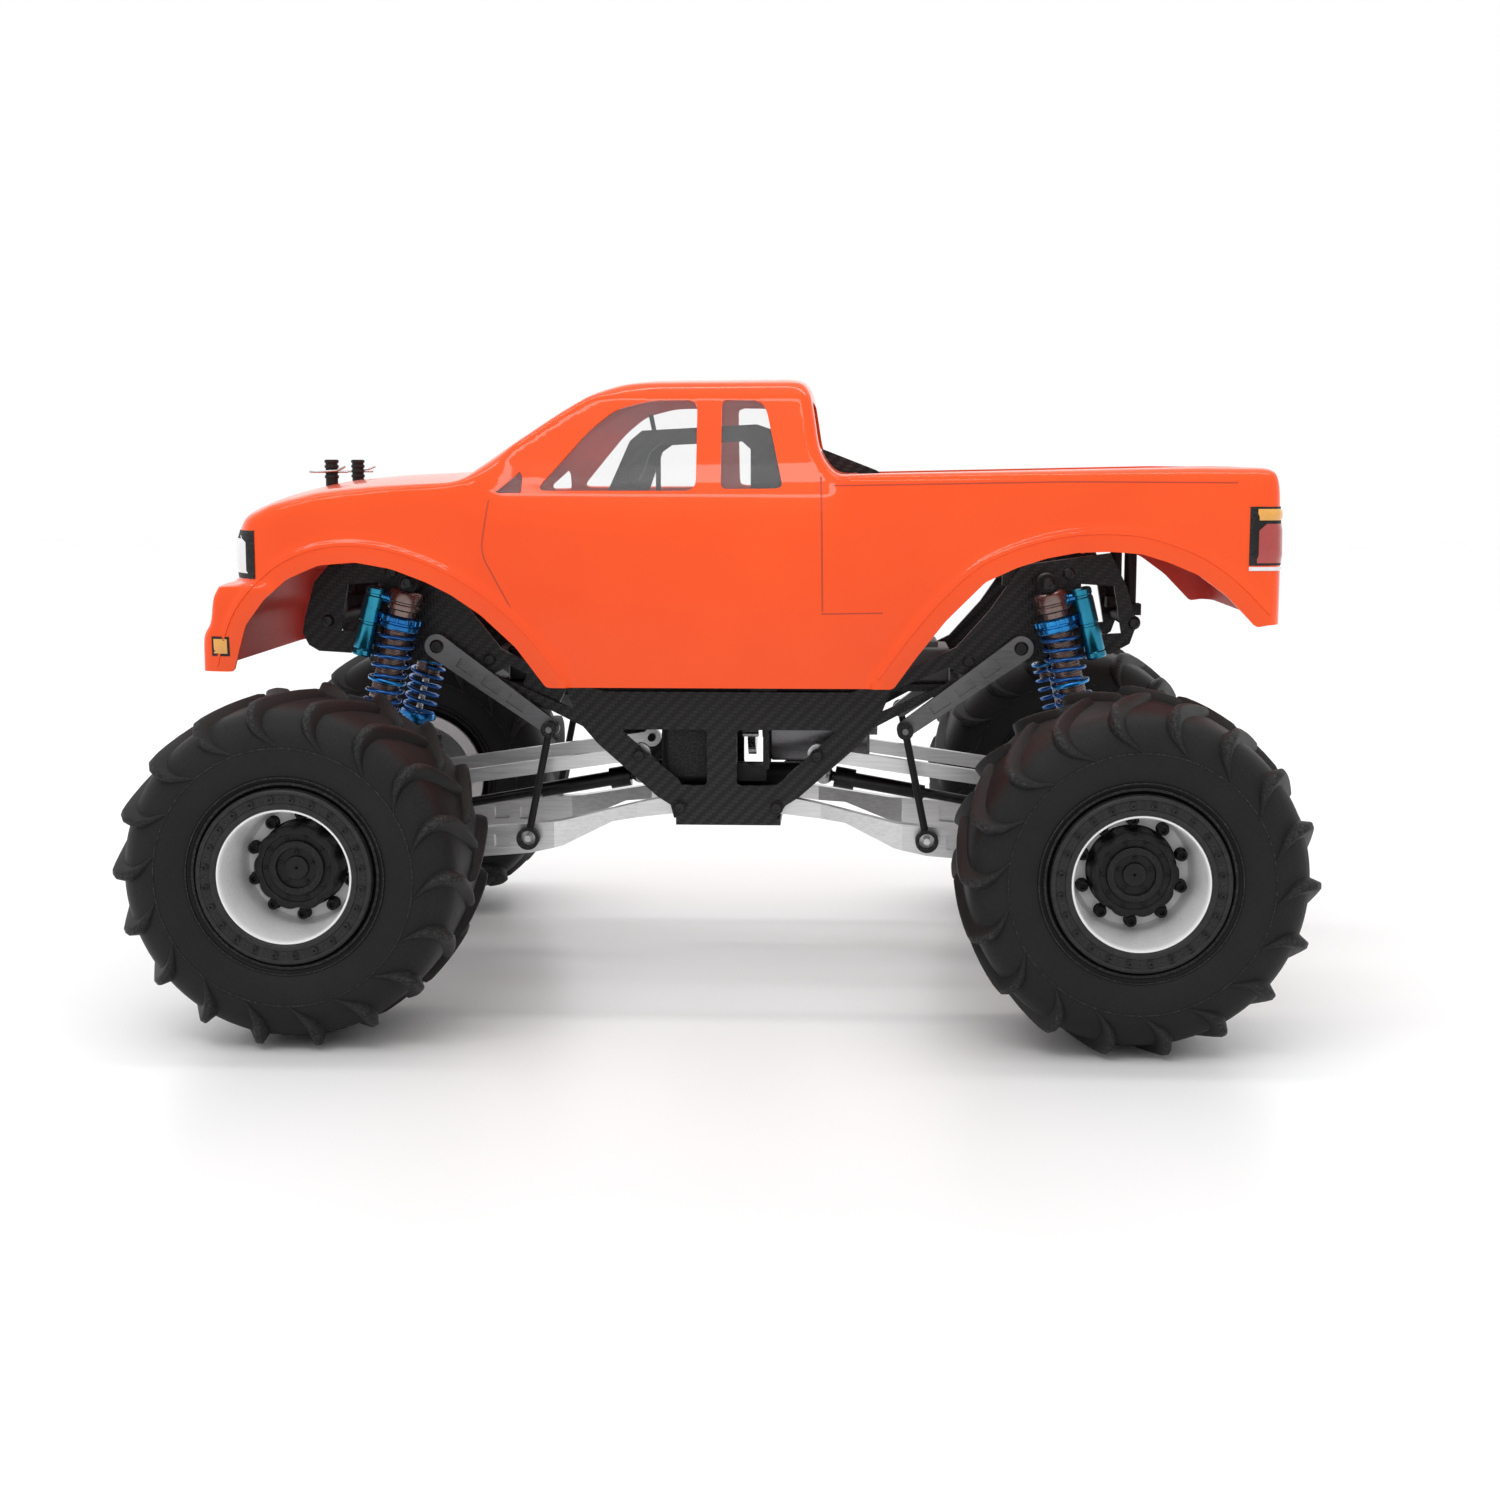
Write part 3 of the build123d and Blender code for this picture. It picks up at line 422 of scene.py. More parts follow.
# ---------------------------------------------------------------- body shell
SIDE = [(-258.7, 180.5), (-258.8, 207), (-257, 246), (-253.5, 253.5), (-220, 254), (-73, 251),
        (-54.3, 250.5), (-49, 256), (-44.8, 264), (-42.6, 279), (-40.4, 292), (-35.3, 296),
        (34, 295.5), (48.3, 294), (62.8, 289.5), (77.4, 281), (106.8, 261.5), (122, 251.3),
        (163.7, 249.3), (189, 246.8), (208.4, 242.3), (223.5, 235.7), (232, 227), (235.5, 218),
        (236.6, 201), (239.5, 198.6), (240.9, 184), (246.5, 180), (247, 158), (247, 110), (-258.7, 110)]
BUMPER_PLAN = [(-261, -60), (-261, 88), (-251, 101), (238, 101), (245, 95.5), (247, 89), (247, -60)]
NOSE_PLAN = [(-261, -60), (-261, 88), (-251, 101), (205, 101), (214, 97.5), (222, 94.5), (229, 84),
             (233.3, 70), (236, 60), (237.3, 40), (237.5, 0), (237.5, -60)]
BUMPER_TOP = (197.0, 200.5)
FRONT_ARCH = [(82, 151), (96, 170), (112, 185), (126, 194.5), (138, 200.5), (154, 206.5), (171, 209.5),
              (188, 208), (203, 201.5), (214, 192), (223, 180), (229.5, 158)]
REAR_ARCH = [(-246, 180.5), (-232, 195), (-219, 204.5), (-206, 210), (-193, 214), (-179, 215),
             (-164, 214.6), (-150, 212), (-136, 207.5), (-122, 201), (-104, 183), (-91, 166.5), (-80, 151)]
DOOR_WINDOW = [(86.8, 242.6), (61.7, 271.2), (50, 280.4), (33.7, 284.5), (12, 284.7), (12, 242.6)]
REAR_WINDOW = [(0.5, 284.8), (-15.9, 284.6), (-20.1, 281.5), (-28.5, 243.7), (0.5, 243.4)]
QUARTER = [(106, 241.5), (93, 252.5), (93, 241.5)]
SCREEN = [(-80, 263.5), (80, 263.5), (69, 287), (-69, 287)]
BACK_WINDOW = [(-68, 262), (68, 262), (64, 284), (-64, 284)]
SKIN = 1.5
FLARE_WIDTH = 8.8
POST_X, POST_Y, POST_RADIUS, POST_HOLE = 197.0, 29.0, 3.0, 3.6
STRIP_FOOT, BADGE_FOOT = 0.25, 0.6        # how far raised lines and lamps sink into the skin


def rounded(points, radius, steps=4, close=True):
    """A polyline with its corners eased by short curves."""
    result, n = [], len(points)
    for i, p in enumerate(points):
        p = np.array(p, float)
        if not close and i in (0, n - 1):
            result.append(p)
            continue
        a, b = np.array(points[i - 1], float), np.array(points[(i + 1) % n], float)
        la, lb = np.linalg.norm(a - p), np.linalg.norm(b - p)
        start = p + (a - p) / la * min(radius, 0.45 * la)
        end = p + (b - p) / lb * min(radius, 0.45 * lb)
        for t in np.linspace(0, 1, steps + 1):
            result.append(start * (1 - t) ** 2 + p * 2 * t * (1 - t) + end * t * t)
    return np.array(result)


def polygon_distance(points, a, b, signed=True, close=True):
    """Distance from each (a, b) to an outline, negative inside it."""
    points = np.asarray(points, float)
    best = np.full(a.shape, 1e9)
    inside = np.zeros(a.shape, bool)
    ends = np.roll(points, -1, 0) if close else points[1:]
    for p, q in zip(points, ends):
        d = q - p
        length = d @ d
        if length < 1e-12:
            continue
        t = np.clip(((a - p[0]) * d[0] + (b - p[1]) * d[1]) / length, 0, 1)
        best = np.minimum(best, (a - p[0] - t * d[0]) ** 2 + (b - p[1] - t * d[1]) ** 2)
        if signed and p[1] != q[1]:
            crosses = ((p[1] > b) != (q[1] > b)) & (a < (q[0] - p[0]) * (b - p[1]) / (q[1] - p[1]) + p[0])
            inside ^= crosses
    best = np.sqrt(best)
    return np.where(inside, -best, best) if signed else best


class Table:
    """A smoothed distance to an outline, read from a fine grid."""

    def __init__(self, points, blur, low, high, signed=True, close=True, step=0.75):
        self.low, self.step = np.array(low, float), step
        self.count = np.ceil((np.array(high) - self.low) / step).astype(int) + 1
        a, b = np.meshgrid(self.low[0] + np.arange(self.count[0]) * step,
                           self.low[1] + np.arange(self.count[1]) * step, indexing="ij")
        grid = polygon_distance(points, a, b, signed, close)
        reach = int(3 * blur / step) + 1
        kernel = np.exp(-0.5 * (np.arange(-reach, reach + 1) * step / blur) ** 2)
        kernel /= kernel.sum()
        for axis in (0, 1):
            pad = [(reach, reach) if k == axis else (0, 0) for k in (0, 1)]
            wide = np.pad(grid, pad, mode="reflect", reflect_type="odd")
            grid = sum(w * np.take(wide, range(i, i + grid.shape[axis]), axis) for i, w in enumerate(kernel))
        self.grid = grid

    def __call__(self, a, b):
        u = np.clip((a - self.low[0]) / self.step, 0, self.count[0] - 1.001)
        v = np.clip((b - self.low[1]) / self.step, 0, self.count[1] - 1.001)
        i, j = u.astype(int), v.astype(int)
        u, v, g = u - i, v - j, self.grid
        return ((1 - u) * ((1 - v) * g[i, j] + v * g[i, j + 1])
                + u * ((1 - v) * g[i + 1, j] + v * g[i + 1, j + 1]))


def ease(value, low, high):
    t = np.clip((value - low) / (high - low), 0, 1)
    return t * t * (3 - 2 * t)


def soft_max(a, b, k):
    h = np.clip(0.5 + 0.5 * (a - b) / k, 0, 1)
    return b * (1 - h) + a * h + k * h * (1 - h)


side_table = Table(rounded(SIDE, 5), 1.3, (-285, 100), (275, 325))
bumper_table = Table(rounded(BUMPER_PLAN, 5), 1.2, (-285, -5), (275, 130))
nose_table = Table(rounded(NOSE_PLAN, 5), 1.6, (-285, -5), (275, 130))
arch_tables = [Table(rounded(arch, 12, close=False), 0.8, (-285, 100), (275, 325), False, False)
               for arch in (FRONT_ARCH, REAR_ARCH)]


def half_width(x, z):
    """Half the body's width: slab sides, a tapering cab and falling fender tops."""
    slab = 97.6 - 2.4 * np.clip((196 - z) / 46, 0, 2) ** 2
    cab = np.interp(z, [226, 233, 240, 247, 256, 270, 286, 292.5, 297, 310],
                    [0, 0.8, 3.0, 6.6, 10.2, 15.0, 20.5, 26, 36, 80])
    hood_edge = np.interp(x, [110, 125, 160, 190, 212, 226, 236], [252, 250, 246.5, 242.5, 236.5, 228, 219])
    hood = np.clip(z - hood_edge + 5, 0, None) ** 2 * 0.22
    bed = np.clip(z - 246.5, 0, None) ** 2 * 0.10
    front = ease(x, 98, 128)
    back = 1 - ease(x, -62, -50)
    return slab - cab * (1 - front) * (1 - back) - hood * front - bed * back


def flare(x, z):
    """How far the wheel arch flares stand out of the side."""
    out = 0
    for table in arch_tables:
        d = table(x, z)
        out = np.maximum(out, 2.7 * (1 - ease(d, 8.5, 12.0)) * (1 - 0.25 * (1 - ease(d, 0, 7))))
    return out * ease(x, -262, -240) * (1 - ease(x, 226, 243))


def field(p):
    """Below zero inside the body."""
    x, y, z = p[..., 0], np.abs(p[..., 1]), p[..., 2]
    crown = np.interp(x, [-60, -40, 100, 130], [0.4, 3.4, 3.4, 4.2]) * (y / 90) ** 2
    side = side_table(x, z + crown)
    above = ease(z, *BUMPER_TOP)
    plan = bumper_table(x, y) * (1 - above) + nose_table(x, y) * above
    width = (y - half_width(x, z) - flare(x, z)) * 0.95
    return soft_max(soft_max(side, plan, 5), width, 4.5)


def slope(function, p, h=0.25):
    """Gradient by central differences."""
    out = np.empty(p.shape)
    for axis in range(3):
        step = np.zeros(3)
        step[axis] = h
        out[..., axis] = (function(p + step) - function(p - step)) / (2 * h)
    return out


def surface_net(function, low, high, step):
    """Vertices and quads of the surface where the function is zero."""
    count = np.ceil((np.array(high) - low) / step).astype(int) + 1
    axes = [low[i] + np.arange(count[i]) * step for i in range(3)]
    grid = np.stack(np.meshgrid(*axes, indexing="ij"), -1)
    values = np.concatenate([function(part) for part in np.array_split(grid, 12)])
    sign = values < 0
    cells = tuple(n - 1 for n in count)
    total = np.zeros(cells + (3,))
    hits = np.zeros(cells)
    corners = [(i, j, k) for i in (0, 1) for j in (0, 1) for k in (0, 1)]

    def part(array, corner):
        return array[tuple(slice(c, c + n) for c, n in zip(corner, cells))]
    for a in corners:
        for axis in range(3):
            if a[axis]:
                continue
            b = tuple(c + (i == axis) for i, c in enumerate(a))
            va, vb = part(values, a), part(values, b)
            cross = (va < 0) != (vb < 0)
            t = np.where(cross, va / np.where(cross, va - vb, 1), 0)
            place = np.broadcast_to(np.array(a, float), cells + (3,)).copy()
            place[..., axis] += t
            total += place * cross[..., None]
            hits += cross
    active = hits > 0
    index = np.full(cells, -1)
    index[active] = np.arange(active.sum())
    base = np.argwhere(active)
    verts = (base + total[active] / hits[active][:, None]) * step + np.array(low, float)
    faces = []
    for axis in range(3):
        u, v = (axis + 1) % 3, (axis + 2) % 3
        first, second = [slice(None)] * 3, [slice(None)] * 3
        first[axis], second[axis] = slice(0, -1), slice(1, None)
        change = sign[tuple(first)] != sign[tuple(second)]
        spots = np.argwhere(change)
        su, sv = spots[:, u], spots[:, v]
        spots = spots[(su > 0) & (sv > 0) & (su < cells[u]) & (sv < cells[v])]
        quad = []
        for du, dv in ((1, 1), (0, 1), (0, 0), (1, 0)):
            cell = spots.copy()
            cell[:, u] -= du
            cell[:, v] -= dv
            quad.append(index[tuple(cell.T)])
        quad = np.stack(quad, 1)
        inner = sign[tuple(first)][tuple(spots.T)]
        quad[~inner] = quad[~inner][:, ::-1]
        faces.append(quad)
    return verts, np.concatenate(faces)


def region(points, plane, radius, where):
    """An opening: an outline in two axes, and where on the body it counts."""
    a, b = {"xz": (0, 2), "yz": (1, 2), "xy": (0, 1)}[plane]
    outline = rounded(points, radius)

    def distance(p):
        return polygon_distance(outline, p[..., a], p[..., b])
    return distance, where


def ring_of(x, y, radius):
    return [(x + radius * cos(2 * pi * k / 16), y + radius * sin(2 * pi * k / 16)) for k in range(16)]


lower_edge = ([(-300, 182.0), (-252, 181.5)] + REAR_ARCH + FRONT_ARCH[:-1]
              + [(229.5, 158), (300, 158), (300, 60), (-300, 60)])


def side_of(p):
    return np.abs(p[..., 1]) > 60


def behind_cab(p):
    return (p[..., 0] < -30) & (p[..., 0] > -70)


def on_hood(p):
    return p[..., 2] > 225


cage_slots = [region([(y, 230), (y + 6, 230), (y + 6, 263), (y, 263)], "yz", 1, behind_cab)[0]
              for y in (32, -38)]
back_openings = [region(BACK_WINDOW, "yz", 4, behind_cab)[0]] + cage_slots
openings = {
    "below": region(lower_edge, "xz", 1.5, lambda p: p[..., 2] < 230),
    "door": region(DOOR_WINDOW, "xz", 5, side_of),
    "rear_door": region(REAR_WINDOW, "xz", 3, side_of),
    "quarter": region(QUARTER, "xz", 1.2, side_of),
    "screen": region(SCREEN, "yz", 5, lambda p: p[..., 0] > 45),
    "back": (lambda p: np.minimum.reduce([distance(p) for distance in back_openings]), behind_cab),
    "bed": region([(-240, -84), (-63, -84), (-63, 84), (-240, 84)], "xy", 6,
                  lambda p: (p[..., 2] > 225) & (p[..., 0] < -50)),
    "post_left": region(ring_of(POST_X, POST_Y, POST_HOLE), "xy", 1, on_hood),
    "post_right": region(ring_of(POST_X, -POST_Y, POST_HOLE), "xy", 1, on_hood),
}


def body_parts(step=2.3):
    """The shell's skin and its panes, as lists of vertices and faces on the outer surface."""
    verts, quads = surface_net(field, (-266, -104, 140), (254, 104, 304), step)
    for _ in range(4):
        grad = slope(field, verts)
        verts -= grad * (field(verts) / np.maximum((grad ** 2).sum(1), 0.05))[:, None]
    centres = verts[quads].mean(1)
    owner = np.zeros(len(quads), int)
    for number, (distance, where) in enumerate(openings.values(), 1):
        owner[(distance(centres) < 0) & where(centres) & (owner == 0)] = number
    for number, (distance, where) in enumerate(openings.values(), 1):
        edge = np.intersect1d(quads[owner == number], quads[owner != number])
        points = verts[edge]
        for _ in range(6):
            g, c = slope(field, points), slope(distance, points)
            gg, gc, cc = (g * g).sum(1), (g * c).sum(1), (c * c).sum(1)
            f, d = field(points), distance(points)
            span = np.maximum(gg * cc - gc * gc, 0.02)
            move = g * ((cc * f - gc * d) / span)[:, None] + c * ((gg * d - gc * f) / span)[:, None]
            size = np.linalg.norm(move, axis=1, keepdims=True)
            points = points - move * np.minimum(1, 1.5 / np.maximum(size, 1e-9))
        verts[edge] = points
    return verts, quads, owner


def solid_skin(verts, quads, thickness, lift=0.0):
    """A skin with an outer face, an inner face and a rim. Slots are 0 outside and on the rim, 1 inside."""
    used, flat = np.unique(quads, return_inverse=True)
    quads = flat.reshape(-1, 4)
    points = verts[used]
    normal = slope(field, points, 0.6)
    normal /= np.linalg.norm(normal, axis=1, keepdims=True)
    n = len(points)
    every = np.concatenate([points + normal * lift, points + normal * (lift - thickness)])
    edges = {}
    for quad in quads.tolist():
        for a, b in zip(quad, quad[1:] + quad[:1]):
            edges[(a, b)] = edges.get((a, b), 0) + 1
    rim = [(b, a, a + n, b + n) for a, b in edges if (b, a) not in edges]
    inner = [[i + n for i in reversed(quad)] for quad in quads.tolist()]
    faces = quads.tolist() + inner + [list(r) for r in rim]
    slots = [0] * len(quads) + [1] * len(quads) + [0] * len(rim)
    return every, faces, slots


def beside(points, distance):
    """A path at a distance to the left of another."""
    along = np.gradient(points, axis=0)
    along /= np.linalg.norm(along, axis=1, keepdims=True)
    return points + np.stack([-along[:, 1], along[:, 0]], 1) * distance


def strip(path, width, lift, name, material):
    """A thin line laid on both sides of the body along a path in X and Z, with its edges sunk in the skin."""
    path = rounded(path, 6, 6, close=False)
    steps = np.concatenate([[0], np.cumsum(np.linalg.norm(np.diff(path, axis=0), axis=1))])
    marks = np.linspace(0, steps[-1], max(3, int(steps[-1] / 2.0)))
    line = np.stack([np.interp(marks, steps, path[:, 0]), np.interp(marks, steps, path[:, 1])], 1)
    along = np.gradient(line, axis=0)
    along /= np.linalg.norm(along, axis=1, keepdims=True)
    across = np.stack([-along[:, 1], along[:, 0]], 1)
    shape = Shape()
    for side in (1, -1):
        rows = []
        for offset, out in ((-0.5, -STRIP_FOOT), (-0.42, lift), (0.42, lift), (0.5, -STRIP_FOOT)):
            at = line + across * width * offset
            p = on_side(at[:, 0], at[:, 1], side)
            rows.append(p + normals(p) * out)
        shape.grid(np.stack(rows, 1))
    return shape.build(name, material, "chassis")


def on_side(x, z, side=1):
    """Points on the body's side at these X and Z."""
    p = np.stack([x, np.full(len(x), 99.0 * side), z], 1)
    for _ in range(14):
        g = slope(field, p)[:, 1]
        p[:, 1] -= np.clip(field(p) / np.where(np.abs(g) < 0.2, 0.2 * side, g), -4, 4)
    return p


def normals(p):
    n = slope(field, p, 0.6)
    return n / np.linalg.norm(n, axis=1, keepdims=True)


def pressed_to_body(rows):
    """Approximate points moved level onto the body's surface."""
    p = np.array(rows, float)
    for _ in range(25):
        g = slope(field, p, 0.6)
        g[..., 2] = 0
        size = np.maximum((g ** 2).sum(-1), 0.05)
        p = p - g * (field(p) / size)[..., None]
    return p


def badge(rows, thickness, name, material):
    """A pad moulded onto the body over a grid of approximate points, on both sides of the truck."""
    p = pressed_to_body(rows)
    n, m = p.shape[:2]
    out = normals(p.reshape(-1, 3)).reshape(p.shape)
    top = p + out * thickness
    foot = p - out * BADGE_FOOT
    for i, j in ((0, None), (-1, None), (None, 0), (None, -1)):
        pick = (slice(None) if i is None else i, slice(None) if j is None else j)
        top[pick] = p[pick] + out[pick] * thickness * 0.45
    shape = Shape()
    grid = np.concatenate([foot[:1], top, foot[-1:]], 0)
    left = np.concatenate([foot[:1, :1], foot[:, :1], foot[-1:, :1]], 0)
    right = np.concatenate([foot[:1, -1:], foot[:, -1:], foot[-1:, -1:]], 0)
    shape.grid(np.concatenate([left, grid, right], 1))
    shape.mirrored()
    return shape.build(name, material, "chassis", 50)


def save_skin(verts, quads, owner):
    shell = solid_skin(verts, quads[owner == 0], SKIN)
    paint = [MATERIALS["paint"], MATERIALS["inside"]]
    body = make("body_shell_skin", *shell[:2], paint, "chassis", 38, shell[2])
    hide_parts("body_shell")
    names = list(openings)
    glass = [names.index(name) + 1 for name in ("door", "rear_door", "quarter", "screen")]
    panes = solid_skin(verts, quads[np.isin(owner, glass)], 0.8, -0.3)
    pane = make("body_windows", *panes[:2], [MATERIALS["window"]] * 2, "chassis", 38, panes[2])
    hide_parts("window_panes")


def body_details():
    seam = MATERIALS["seam"]
    # the door seams and the bed rail line are dark raised lines standing in for moulded grooves: a painted
    # shadow
    strip([(-46, 249), (-46.5, 230), (-47, 187)], 0.9, 0.07, "door_seam_left", seam)
    strip([(-46.5, 186), (-75, 186.5)], 0.7, 0.07, "bed_seam_left", seam)
    strip([(108, 238.5), (112, 214), (98, 188)], 0.8, 0.07, "door_front_seam_left", seam)
    strip([(-236, 246.5), (-160, 246.9), (-75, 245.4), (-52, 245)], 0.7, 0.07, "bed_rail_line_left", seam)
    # each lamp is a lens on a black bezel, wrapped round its corner of the body
    corner = [(219, 96), (222, 94.5), (226, 89.5), (229, 84), (231.4, 77), (233.3, 70), (235, 64.5),
              (236, 60)]

    def wrap(points, z0, z1, count=7):
        return [[(x, y, z) for x, y in points] for z in np.linspace(z0, z1, count)]
    badge(wrap(corner, 201.5, 224), 0.8, "headlamp_bezel", MATERIALS["black"])
    headlamp = badge(wrap(corner[1:-1], 203.5, 221.5), 1.2, "headlamp_lens", MATERIALS["clear_lens"])
    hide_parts("front_lamps")
    grille = [(240, y) for y in np.linspace(54, 0, 14)]
    badge(wrap(grille, 201.5, 222, 9), 0.8, "grille_panel", MATERIALS["black"])
    for number, z in enumerate((203.5, 208.5, 213.5, 218.5)):
        bar = [[(240, y, h) for y in np.linspace(51, 0, 12)] for h in np.linspace(z - 0.9, z + 0.9, 4)]
        badge(bar, 1.9, "grille_bar_" + str(number), MATERIALS["satin"])
    tail = [(-242, 99), (-245.5, 99), (-249.5, 98.4), (-254, 96), (-257.5, 93), (-259.5, 89.5)]
    badge(wrap(tail, 208.8, 235.6), 0.7, "tail_lamp_bezel", MATERIALS["black"])
    amber = badge(wrap(tail[1:], 229.2, 234.6, 5), 1.3, "tail_lamp_amber", MATERIALS["amber"])
    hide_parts("rear_lamps")
    badge(wrap(tail[1:], 209.9, 228.4, 6), 1.3, "tail_lamp_red", MATERIALS["red_lens"])
    badge(wrap(tail, 206.4, 208.2, 4), 0.8, "tail_lamp_clear", MATERIALS["clear_lens"])
    badge(wrap(tail[3:5], 221.0, 225.0, 5), 1.9, "reversing_lamp", MATERIALS["clear_lens"])
    marker = [(231, 98), (234, 98), (237, 97.8), (240, 97)]
    badge(wrap(marker, 165.4, 174.6, 5), 0.5, "marker_bezel", MATERIALS["black"])
    badge(wrap([(232, 98), (234.4, 98), (236.8, 97.8), (239, 97.4)], 166.6, 173.4, 5), 0.9, "marker_lens",
          MATERIALS["amber"])
    for name, arch in (("front", FRONT_ARCH), ("rear", REAR_ARCH)):
        path = beside(rounded(arch, 12, close=False), FLARE_WIDTH)
        strip(path, 1.5, 0.32, name + "_flare_bead", MATERIALS["paint"])


def body_floor():
    """The shelf under the open bed, which the rear posts hold, with a folded front lip."""
    shape = Shape()
    corners = [(-166, -94.2), (-166, 94.2), (-250, 94.2), (-256, 86), (-256, -86), (-250, -94.2)]
    outline = rounded(corners, 4)
    shape.prism([tuple(p) for p in outline], "z", 222.0, 223.6)
    shape.prism([(-166, 222), (-167.6, 222), (-167.6, 214), (-166, 214)], "y", -93, 93)
    for y in (-70, -42, 0, 42, 70):
        shape.prism([(-176, 223.6), (-178, 225.2), (-238, 225.2), (-240, 223.6)], "y", y - 3, y + 3)
    shape.build("bed_shelf", MATERIALS["paint"], "chassis", 38, 0.4)


# ---------------------------------------------------------------- wheels
LUGS = 18
TYRE_MIDDLE, WHEEL_X, WHEEL_Z = 148.0, 184.0, 78.0
RING_BOLTS, RING_BOLT_CIRCLE, HUB_BOLTS, HUB_BOLT_CIRCLE = 24, 34.3, 10, 22.6
TYRE_STEPS = 144
# profiles as (radius, distance from the tyre's middle)
CARCASS = [(33.7, 32.5), (33.7, 36.2), (37.3, 36.4), (38.6, 37.8), (40.5, 39.6), (45, 42.2), (50, 44.0),
           (56, 44.9), (61, 44.3), (66, 42.3), (69.4, 39.4), (71.9, 35.6), (73.2, 30), (73.9, 20), (74.2, 8),
           (74.2, 0)]
TYRE_LINER = [(70.2, 0), (70, 25), (68.5, 34), (64, 38.6), (56, 41.3), (46, 38.8), (40, 35.2), (37.6, 32.5)]


def lug_rows(side):
    """One lug, over the shoulder and down the sidewall, as (angle, axial, radius)."""
    # axial, radius of the floor, height of the lug, half width, sweep angle in degrees
    stations = [(-4.5, 74.1, 0.0, 0.9, -6.5), (-3.2, 74.1, 3.0, 1.4, -5.6), (0, 74.1, 3.7, 1.9, -4.2),
                (8, 74.1, 3.8, 2.5, -0.6), (16, 74.0, 3.9, 2.9, 2.6), (24, 73.6, 4.1, 3.2, 5.6),
                (31, 72.9, 4.5, 3.3, 8.0), (35.6, 71.6, 5.4, 3.2, 9.4), (39.2, 69.3, 5.6, 3.0, 10.0),
                (41.8, 66.6, 4.6, 2.7, 9.8), (43.4, 64.0, 3.3, 2.3, 8.6), (44.3, 61.5, 2.0, 1.8, 6.6),
                (44.75, 59.0, 0.9, 1.2, 3.8), (44.95, 56.5, 0.0, 0.5, 0.6)]
    rows = []
    for i, (axial, radius, high, half, sweep) in enumerate(stations):
        a, b = stations[max(0, i - 1)], stations[min(len(stations) - 1, i + 1)]
        t = np.array([b[0] - a[0], b[1] - a[1]], float)
        t /= np.linalg.norm(t)
        out = np.array([-t[1], t[0]])
        if out[1] < 0 and axial < 38:
            out = -out
        if out[0] < 0 and axial >= 38:
            out = -out
        row = []
        for offset, lift in ((-1.7, -1.2), (-1.25, 0.2), (-0.6, 0.9), (-0.35, 1.0), (0.3, 1.0), (0.5, 0.92),
                             (0.95, 0.2), (1.3, -1.2)):
            at = np.array([axial, radius]) + out * (high * lift if lift > 0 else lift)
            angle = radians(sweep) + offset * half / max(at[1], 1)
            row.append((angle, at[0] * side, at[1]))
        rows.append(row)
    return rows


def tyre_shape():
    shape = Shape()
    outside = CARCASS + [(r, -a) for r, a in CARCASS[-2::-1]]
    shape.lathe(outside + [(r, -a) for r, a in TYRE_LINER[::-1]] + TYRE_LINER[1:], count=TYRE_STEPS)
    for side in (1, -1):
        for number in range(LUGS):
            turn = 2 * pi * (number + (0 if side > 0 else 0.5)) / LUGS
            shape.grid([[(r * sin(turn + a), axial, r * cos(turn + a)) for a, axial, r in row]
                        for row in lug_rows(side)])
    # moulded rings on the sidewall: bead guard and a fine line above it
    rings = ((40.6, 39.9, 1.1, 0.8), (43.3, 41.6, 0.5, 0.45), (56.5, 44.9, 0.45, 0.3))
    for radius, axial, width, high in rings:
        for side in (1, -1):
            bead = [(radius + width * up, (axial + out) * side)
                    for out, up in ((-0.5, -1), (high, -0.5), (high, 0.5), (-0.3, 1))]
            shape.lathe(bead, 0, False, TYRE_STEPS)
    return shape


